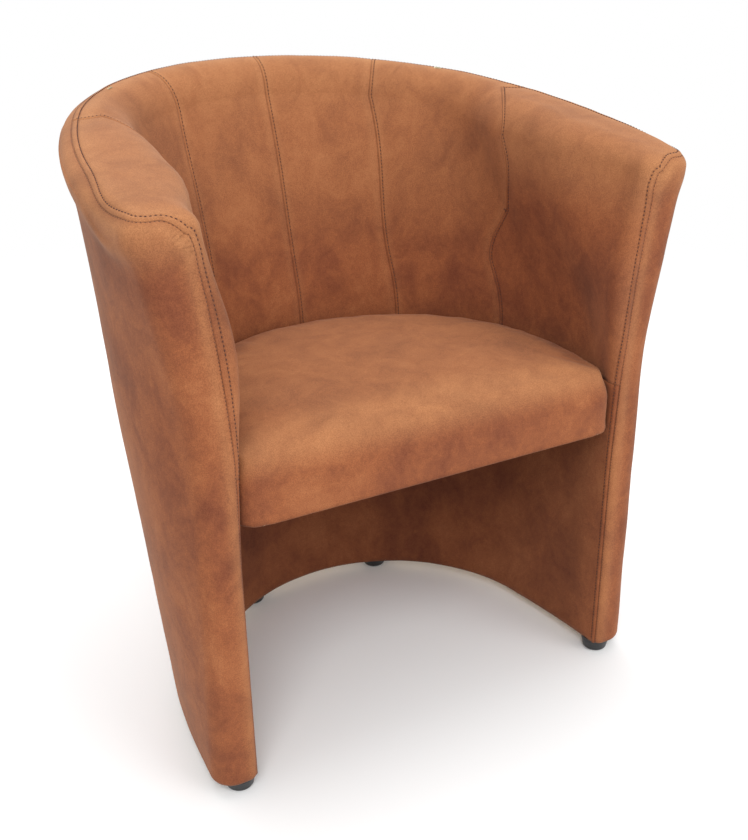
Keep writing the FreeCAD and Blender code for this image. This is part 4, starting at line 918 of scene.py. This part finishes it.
def makePanels(tree, look):
    # the six panels, their surfaces and the lines of the channel seams
    profiles = {}
    for name, places in seams.items():
        profiles[name] = {side: channelProfile(side, places) for side in (-1, 1)}

    def footLine(side, start, end):
        return wallPoints(side * np.linspace(start, end, 120), footUp)

    def headLine(side, start, end):
        along = np.maximum(np.linspace(start, end, 160), 1e-6)
        return wallPoints(side * along, seamUpAt(along))

    # wear by the seams, and a painted highlight that makes the back paler towards the top
    def backWearAndHighlight(points, toChannel, toMain):
        high = smoothStep(points[..., 2], 690, 775)
        middle = 0.28 * smoothStep(points[..., 2], 500, 640)
        return middle + 0.22 * high + 0.3 * bump(toMain, 14, 12) + 0.12 * bump(toChannel, 6, 5)

    # wear by the main seam, and a painted highlight that makes the arm paler towards its top
    def armWearAndHighlight(points, toChannel, toMain):
        high = smoothStep(points[..., 2], 600, 690)
        return 0.5 * high + 0.2 * bump(toMain, 10, 12)

    items, surfaces = [], []
    for side, sideName in ((-1, "left"), (1, "right")):
        for part, low, high, seed in (("back", "middle", "inner", 3), ("side", "inner", "outer", 5)):
            start, end = profiles[low][side], profiles[high][side]
            head = headLine(side, seams[low][3], seams[high][3])
            plan = {
                "facing": side,
                "channels": [start, end],
                "mains": [head],
                "stitched": end if side < 0 else start,
                "wearAndHighlight": backWearAndHighlight,
                "seed": seed + side,
            }
            foot = footLine(side, seams[low][0], seams[high][0])
            item, surface = makePanel(
                f"{sideName}{part.capitalize()}Panel", tree, [start, end], [foot], [head], look, plan
            )
            items.append((item, f"{sideName}_{part}_panel"))
            surfaces.append(surface)

        start, end = profiles["outer"][side], frontProfile(side)
        feet = [
            footLine(side, seams["outer"][0], innerEdgeAlong),
            footLine(side, innerEdgeAlong, footSeamAlong),
        ]
        heads = [
            headLine(side, seams["outer"][3], edgeCrownAlong),
            headLine(side, edgeCrownAlong, outerCornerAlong),
        ]
        plan = {
            "facing": side,
            "channels": [start],
            "mains": [np.concatenate(end), *heads],
            "stitched": start if side > 0 else None,
            "wearAndHighlight": armWearAndHighlight,
            "seed": 12 + side,
            "evening": 3,
        }
        arm = [start, edgeProfile(side), end]
        item, surface = makePanel(f"{sideName}ArmPanel", tree, arm, feet, heads, look, plan)
        items.append((item, f"{sideName}_arm_panel"))
        surfaces.append(surface)
    channels = [profiles["outer"][-1], profiles["inner"][-1], profiles["middle"][1]]
    channels += [profiles["inner"][1], profiles["outer"][1]]
    return items, surfaces, [np.concatenate(profile) for profile in channels]


def besideLine(surfaces, line, distance):
    # the path on the sewn surfaces at a distance to the right of a line, and the outward directions there
    points = np.concatenate([shaped.reshape(-1, 3) for shaped, normals, faces in surfaces])
    outward = np.concatenate([normals.reshape(-1, 3) for shaped, normals, faces in surfaces])
    starts = np.cumsum([0] + [shaped.shape[0] * shaped.shape[1] for shaped, normals, faces in surfaces])
    faces = np.concatenate([faces + start for (shaped, normals, faces), start in zip(surfaces, starts)])
    surface = BVHTree.FromPolygons(points.tolist(), faces.tolist())
    corners = pointTree(points)

    def outwardAt(places):
        return outward[[corners.find(place)[1] for place in places]]

    middle = resample(line, np.arange(0, lengths(line)[-1], 1.5))
    forward = np.gradient(middle, axis=0)
    sideways = unit(np.cross(forward, outwardAt(middle)))
    path = np.array([surface.find_nearest(Vector(place))[0] for place in middle + sideways * distance])
    return path, outwardAt(path)


# Back foam: one pad under the panels, from the seat over the rim

foamLook = {"under": 6.5, "thickness": 12, "outerUp": 2.3}


def makeBackFoam(look):
    inner = np.concatenate([np.linspace(4.6, 6, 50)[:-1], np.linspace(6, 6.9999, 50)])
    outer = np.concatenate([np.linspace(2.0, 1, 50)[:-1], np.linspace(1, 1e-4, 50)])
    up = np.concatenate([np.linspace(footUp, 2, 46), np.linspace(2.05, 3, 14)])
    columns = []
    for side, order in ((-1, range(len(inner))), (1, reversed(range(len(inner) - 1)))):
        for index in order:
            face = wallPoints(side * inner[index], up)
            roll = wallPoints(side * outer[index], np.linspace(3, look["outerUp"], 8))
            columns.append(overRim(face, roll, 10))
    points = np.stack(columns, axis=1)
    shaped = points - gridNormals(points) * look["under"]
    item = makeObject("backFoam", shaped.reshape(-1, 3), gridFaces(*points.shape[:2]))
    thicken(item, look["thickness"])
    return item


# Dust cover: thin cloth tacked under the seat, sagging a little between its edges

dustLook = {"sag": 2.2, "thickness": 0.8, "rings": 26, "sides": 120}


def makeDustCover(look):
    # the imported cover's outline, filled with rings that sag towards the middle
    packed = readPoints(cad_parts["dust_cover"])
    packed[:, 2] = packed[:, 2].max()
    low, high = packed.min(axis=0), packed.max(axis=0)
    middle = (low + high) / 2
    away = packed - middle
    corners = packed[np.argsort(np.arctan2(away[:, 1], away[:, 0]))]
    corners = np.concatenate([corners, corners[:1]])
    outline = resample(corners, np.linspace(0, lengths(corners)[-1], look["sides"] + 1))
    shares = np.linspace(0.02, 1, look["rings"])[:, None]
    rows = middle + shares[..., None] * (outline - middle)
    rows[..., 2] -= look["sag"] * (1 - shares**2)
    item = makeObject("dustCover", rows.reshape(-1, 3), gridFaces(*rows.shape[:2])[:, ::-1])
    thicken(item, look["thickness"])
    x, y = outline[:, 0] * mm, outline[:, 1] * mm
    area = abs(float(np.sum(x[:-1] * y[1:] - x[1:] * y[:-1]))) / 2
    return item, ((high - low)[:2] * mm).tolist(), area


# Lower lining: the inner face below the seat

liningLook = {
    "edgeOffsets": [0.12, 0.9, 1.8, 3, 4.5, 6, 7, 8, 9.5, 11, 13, 16, 20, 25],
    "step": 7,
    "thickness": 1.5,
    "unevenness": 1.0,
    "seamDepth": 0.8,
    "stitchDepth": 0.6,
    "ridge": 0.45,
    "shade": 0.4,
}


def makeLowerLining(look):
    heights = np.linspace(0, footUp - 0.0006, 66)
    width = fullAcross - seamAcross
    across = seamAcross + graded(width, look["edgeOffsets"], [0, look["step"]], look["step"])
    across = np.concatenate([across, -across[-2::-1]])
    gridAcross, gridUp = np.meshgrid(across, heights)
    points = wallPoints(alongFor(gridAcross, gridUp), gridUp)
    normals = -gridNormals(points)
    toSeam = np.minimum(np.abs(gridAcross) - seamAcross, 400)
    move = -look["seamDepth"] * bump(toSeam, 0, 1.8) - look["stitchDepth"] * bump(toSeam, mainStitch, 1)
    move += look["ridge"] * bump(toSeam, mainStitch / 2, 1.8)
    fromTop = 1 - smoothStep(points[..., 2], wall["panelFoot"] - 30, wall["panelFoot"])
    move += look["unevenness"] * waves(points, 80, 21) * smoothStep(toSeam, 4, 40) * fromTop
    shaped = points + normals * move[..., None]
    faces = gridFaces(*move.shape)
    # painted shade in the main seam and stitch row, and painted shade over the lining, which faces in under
    # the seat
    paintedShade = 0.3 * bump(toSeam, 0, 0.7) + 0.25 * bump(toSeam, mainStitch, 0.8)
    paintedShade += look["shade"] * smoothStep(toSeam, 10, 60)
    item = sewnPiece("lowerLining", shaped, faces[:, ::-1], paintedShade, 0 * move, look["thickness"])
    return item, (shaped, normals, faces)


# Seat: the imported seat's outside, remeshed, blown up as cloth over its stuffing and then creased

seatLook = {
    "voxel": 6,
    "shrink": 3.5,
    "pressure": 4,
    "frames": 20,
    "topCap": 5.5,
    "sideCap": 2.2,
    "footCap": 0.8,
    "foamFoot": 396,
    "pinHeight": 12,
    "unevenness": 1.0,
    "topZone": (428, 446),
    "frontZone": (-34, -8),
    "dentSize": 0.4,
    "dentHeight": 405,
    "dentSpread": 22,
    "dents": 46,
    "footOut": 1.6,
    "footDown": 1.2,
}


def hullOf(name, source):
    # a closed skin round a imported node, remeshed evenly
    shape = bmesh.new()
    for vertex in source.data.vertices:
        shape.verts.new(vertex.co)
    bmesh.ops.remove_doubles(shape, verts=shape.verts, dist=1e-5)
    made = bmesh.ops.convex_hull(shape, input=shape.verts)
    inside = [vertex for vertex in made["geom_interior"] if isinstance(vertex, bmesh.types.BMVert)]
    bmesh.ops.delete(shape, geom=inside, context="VERTS")
    mesh = bpy.data.meshes.new(name)
    shape.to_mesh(mesh)
    shape.free()
    return addObject(name, mesh)


def blowUp(item, look, pinned):
    # cloth over its stuffing: pressure from inside, held along the foot, for a few frames
    group = item.vertex_groups.new(name="held")
    group.add(np.flatnonzero(pinned).tolist(), 1, "REPLACE")
    cloth = item.modifiers.new("cloth", "CLOTH")
    cloth.settings.quality = 6
    cloth.settings.mass = 0.3
    cloth.settings.tension_stiffness = 18
    cloth.settings.compression_stiffness = 18
    cloth.settings.bending_stiffness = 0.6
    cloth.settings.use_pressure = True
    cloth.settings.uniform_pressure_force = look["pressure"]
    cloth.settings.vertex_group_mass = "held"
    cloth.settings.effector_weights.gravity = 0
    for frameNumber in range(1, look["frames"] + 1):
        bpy.context.scene.frame_set(frameNumber)
    bake(item)
    bpy.context.scene.frame_set(1)


def makeSeat(look):
    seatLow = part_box("seat_cover")[0]
    bottom, front = seatLow.z / mm, seatLow.y / mm
    item = hullOf("seatCushion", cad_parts["seat_cover"])
    remesh = item.modifiers.new("remesh", "REMESH")
    remesh.mode = "VOXEL"
    remesh.voxel_size = look["voxel"] * mm
    bake(item)
    points, normals = readPoints(item), readNormals(item)
    foamed = smoothStep(points[:, 2], look["foamFoot"], look["foamFoot"] + 28)
    start = points - normals * (look["shrink"] * foamed + 0.2)[:, None]
    writePoints(item, start)
    blowUp(item, look, points[:, 2] < bottom + look["pinHeight"])
    grown = readPoints(item) - start
    size = np.maximum(np.linalg.norm(grown, axis=1), 1e-6)
    ahead = front - points[:, 1]
    opened = np.maximum(smoothStep(points[:, 2], *look["topZone"]), smoothStep(ahead, *look["frontZone"]))
    cap = look["footCap"] + (look["sideCap"] - look["footCap"]) * foamed
    cap += (look["topCap"] - look["sideCap"]) * opened * foamed
    grown *= (cap * (1 - np.exp(-size / cap)) / size)[:, None]
    writePoints(item, start + grown)
    print("stage: seat grew", round(float(size.max()), 1), "mm before its cap")

    finer = item.modifiers.new("finer", "SUBSURF")
    finer.levels = finer.render_levels = 1
    bake(item)
    points, normals = readPoints(item), readNormals(item)
    free = 0.25 + 0.75 * smoothStep(points[:, 2], look["foamFoot"], look["foamFoot"] + 30)
    free *= smoothStep(points[:, 2], bottom + 1, bottom + 8)
    move = look["unevenness"] * waves(points, 85, 31) + 0.35 * waves(points, 30, 32)
    fromMiddle = np.arctan2(points[:, 0], -(points[:, 1] + 60))
    edge = bump(points[:, 2], look["dentHeight"], look["dentSpread"])
    move += look["dentSize"] * edge * np.sin(fromMiddle * look["dents"] + 2 * waves(points, 60, 33))
    shaped = points + normals * (move * free)[:, None]

    # the foot's edge is pulled square over the rails
    low = 1 - smoothStep(points[:, 2], bottom + 2, bottom + 11)
    flat = normals * np.array([1, 1, 0])
    flat /= np.maximum(np.linalg.norm(flat, axis=1, keepdims=True), 0.3)
    shaped += flat * (look["footOut"] * low)[:, None]
    shaped[:, 2] -= look["footDown"] * low
    writePoints(item, shaped)
    points = readPoints(item)
    # painted shade at the seat's foot over the rails; wear and a painted highlight on the front ridge and
    # the top
    foot = bump(points[:, 2], bottom, 5)
    setValues(item, "paintedShade", 0.5 * foot)
    ridge = bump(points[:, 1], front + 20, 34) * smoothStep(points[:, 2], 396, 430)
    middle = 0.35 * smoothStep(points[:, 2], 430, 452)
    setValues(item, "wearAndHighlight", np.clip(0.55 * ridge + middle, 0, 1))
    item.data.polygons.foreach_set("use_smooth", [True] * len(item.data.polygons))
    return item


tree = wallTree()
outerCover, mainPath = makeOuterCover(outerLook)
dress(outerCover, suede)
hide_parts("outer_cover", "outer_wadding", "front_foam_left", "front_foam_right")
print("stage: outer cover")

panels, surfaces, channelLines = makePanels(tree, panelLook)
for item, nodeName in panels:
    dress(item, suede)
    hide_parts(nodeName)
print("stage: inner panels")

backFoam = makeBackFoam(foamLook)
dress(backFoam, slotFinishes["foam"])
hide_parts("back_foam")
dustCover, dustSize, dustArea = makeDustCover(dustLook)
dress(dustCover, slotFinishes["dust_cloth"])
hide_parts("dust_cover")
print("stage: back foam and dust cover")

lowerLining, liningSurface = makeLowerLining(liningLook)
dress(lowerLining, suede)
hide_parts("lower_lining")
print("stage: lower lining")

paths = [besideLine(surfaces, line, channelStitch) for line in channelLines]
paths.append(besideLine([*surfaces, liningSurface], mainLine(), mainStitch))
stitches = makeThread("topStitches", paths, stitchLook)
dress(stitches, threadFinish)
mainSeam = makeThread("mainSeam", [mainPath], seamLook)
dress(mainSeam, threadFinish)
print("stage: stitches")

seat = makeSeat(seatLook)
dress(seat, suede)
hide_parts("seat_cover", "seat_foam", "spring_felt")
print("stage: seat")

# Floor, light and camera

floorLook = {"size": 12, "colour": (0.93, 0.93, 0.93), "fadeStart": 1.3, "fadeEnd": 2.6}


def mixShaders(nodes, links, sockets, output):
    # the first socket is the share, the others are the two shaders
    mix = nodes.new("ShaderNodeMixShader")
    for place, socket in enumerate(sockets):
        links.new(socket, mix.inputs[place])
    links.new(mix.outputs["Shader"], nodes[output].inputs["Surface"])


def makeFloor(look):
    # a pale floor that fades into the white background behind the chair
    half = look["size"] / 2 / mm
    corners = [(-half, -half, -0.2), (half, -half, -0.2), (half, half, -0.2), (-half, half, -0.2)]
    floor = makeObject("floor", corners, [(0, 1, 2, 3)], smooth=False)
    material, nodes, links, shader, coordinates = nodeMaterial("floor", look["colour"])
    shader.inputs["Base Color"].default_value = (*look["colour"], 1)
    shader.inputs["Roughness"].default_value = 0.9
    shader.inputs["Specular IOR Level"].default_value = 0.1
    distance = nodes.new("ShaderNodeVectorMath")
    distance.operation = "LENGTH"
    links.new(coordinates, distance.inputs[0])
    fade = nodes.new("ShaderNodeMapRange")
    fade.interpolation_type = "SMOOTHSTEP"
    fade.inputs["From Min"].default_value = look["fadeStart"]
    fade.inputs["From Max"].default_value = look["fadeEnd"]
    links.new(distance.outputs["Value"], fade.inputs["Value"])
    clear = nodes.new("ShaderNodeBsdfTransparent").outputs["BSDF"]
    mixShaders(nodes, links, (fade.outputs["Result"], shader.outputs["BSDF"], clear), "Material Output")
    floor.data.materials.append(material)


lamps = {
    "key": {"place": (-1.6, -2.6, 2.9), "size": 1.8, "power": 62},
    "fill": {"place": (1.5, -3.0, 1.9), "size": 2.4, "power": 42},
    "top": {"place": (0.2, 0.6, 3.4), "size": 2.6, "power": 34},
    "back": {"place": (0.6, 3.0, 2.2), "size": 2.4, "power": 18},
}
sceneLight = {"world": 0.75, "background": 1.0}
target = Vector((0, -0.05, 0.4))


def makeLights(settings):
    for name, look in settings.items():
        light = bpy.data.lights.new(name, "AREA")
        light.shape = "DISK"
        light.size = look["size"]
        light.energy = look["power"]
        item = addObject(name, light)
        item.location = look["place"]
        item.rotation_euler = (target - Vector(look["place"])).to_track_quat("-Z", "Y").to_euler()
    world = bpy.data.worlds.new("studio")
    bpy.context.scene.world = world
    world.use_nodes = True
    nodes, links = world.node_tree.nodes, world.node_tree.links
    lit = nodes["Background"]
    lit.inputs["Color"].default_value = (1, 1, 1, 1)
    lit.inputs["Strength"].default_value = sceneLight["world"]
    seen = nodes.new("ShaderNodeBackground")
    seen.inputs["Color"].default_value = (1, 1, 1, 1)
    seen.inputs["Strength"].default_value = sceneLight["background"]
    fromCamera = nodes.new("ShaderNodeLightPath").outputs["Is Camera Ray"]
    backgrounds = (lit.outputs["Background"], seen.outputs["Background"])
    mixShaders(nodes, links, (fromCamera, *backgrounds), "World Output")


cameraLook = {
    "azimuth": -27.80,
    "elevation": 21.54,
    "roll": -1.14,
    "distance": 1.3311,
    "focal": 1008.4,
    "centre": (359.67, 380.41),
    "picture": (748, 840),
    "film": 36,
}


def makeCamera(look):
    # the camera of the photograph; its focal length and the target's place in the picture are in pixels
    azimuth, elevation = math.radians(look["azimuth"]), math.radians(look["elevation"])
    flat = math.cos(elevation)
    back = Vector((math.sin(azimuth) * flat, -math.cos(azimuth) * flat, math.sin(elevation)))
    forward = -back
    right = forward.cross(Vector((0, 0, 1))).normalized()
    up = right.cross(forward)
    pan = math.atan((look["centre"][0] - look["picture"][0] / 2) / look["focal"])
    tilt = math.atan((look["centre"][1] - look["picture"][1] / 2) / look["focal"])
    across = right * math.cos(pan) + forward * math.sin(pan)
    ahead = forward * math.cos(pan) - right * math.sin(pan)
    upward = up * math.cos(tilt) - ahead * math.sin(tilt)
    ahead = up * math.sin(tilt) + ahead * math.cos(tilt)
    roll = math.radians(look["roll"])
    axisX = across * math.cos(roll) + upward * math.sin(roll)
    axisY = upward * math.cos(roll) - across * math.sin(roll)
    data = bpy.data.cameras.new("camera")
    data.sensor_fit = "VERTICAL"
    data.sensor_height = look["film"]
    data.lens = look["focal"] / look["picture"][1] * look["film"]
    camera = addObject("camera", data)
    turn = Matrix((axisX, axisY, -ahead)).transposed().to_4x4()
    camera.matrix_world = Matrix.Translation(target + back * look["distance"]) @ turn
    bpy.context.scene.camera = camera


makeFloor(floorLook)
makeLights(lamps)
makeCamera(cameraLook)
bpy.context.scene.view_settings.view_transform = "Standard"
print("stage: floor, light and camera")
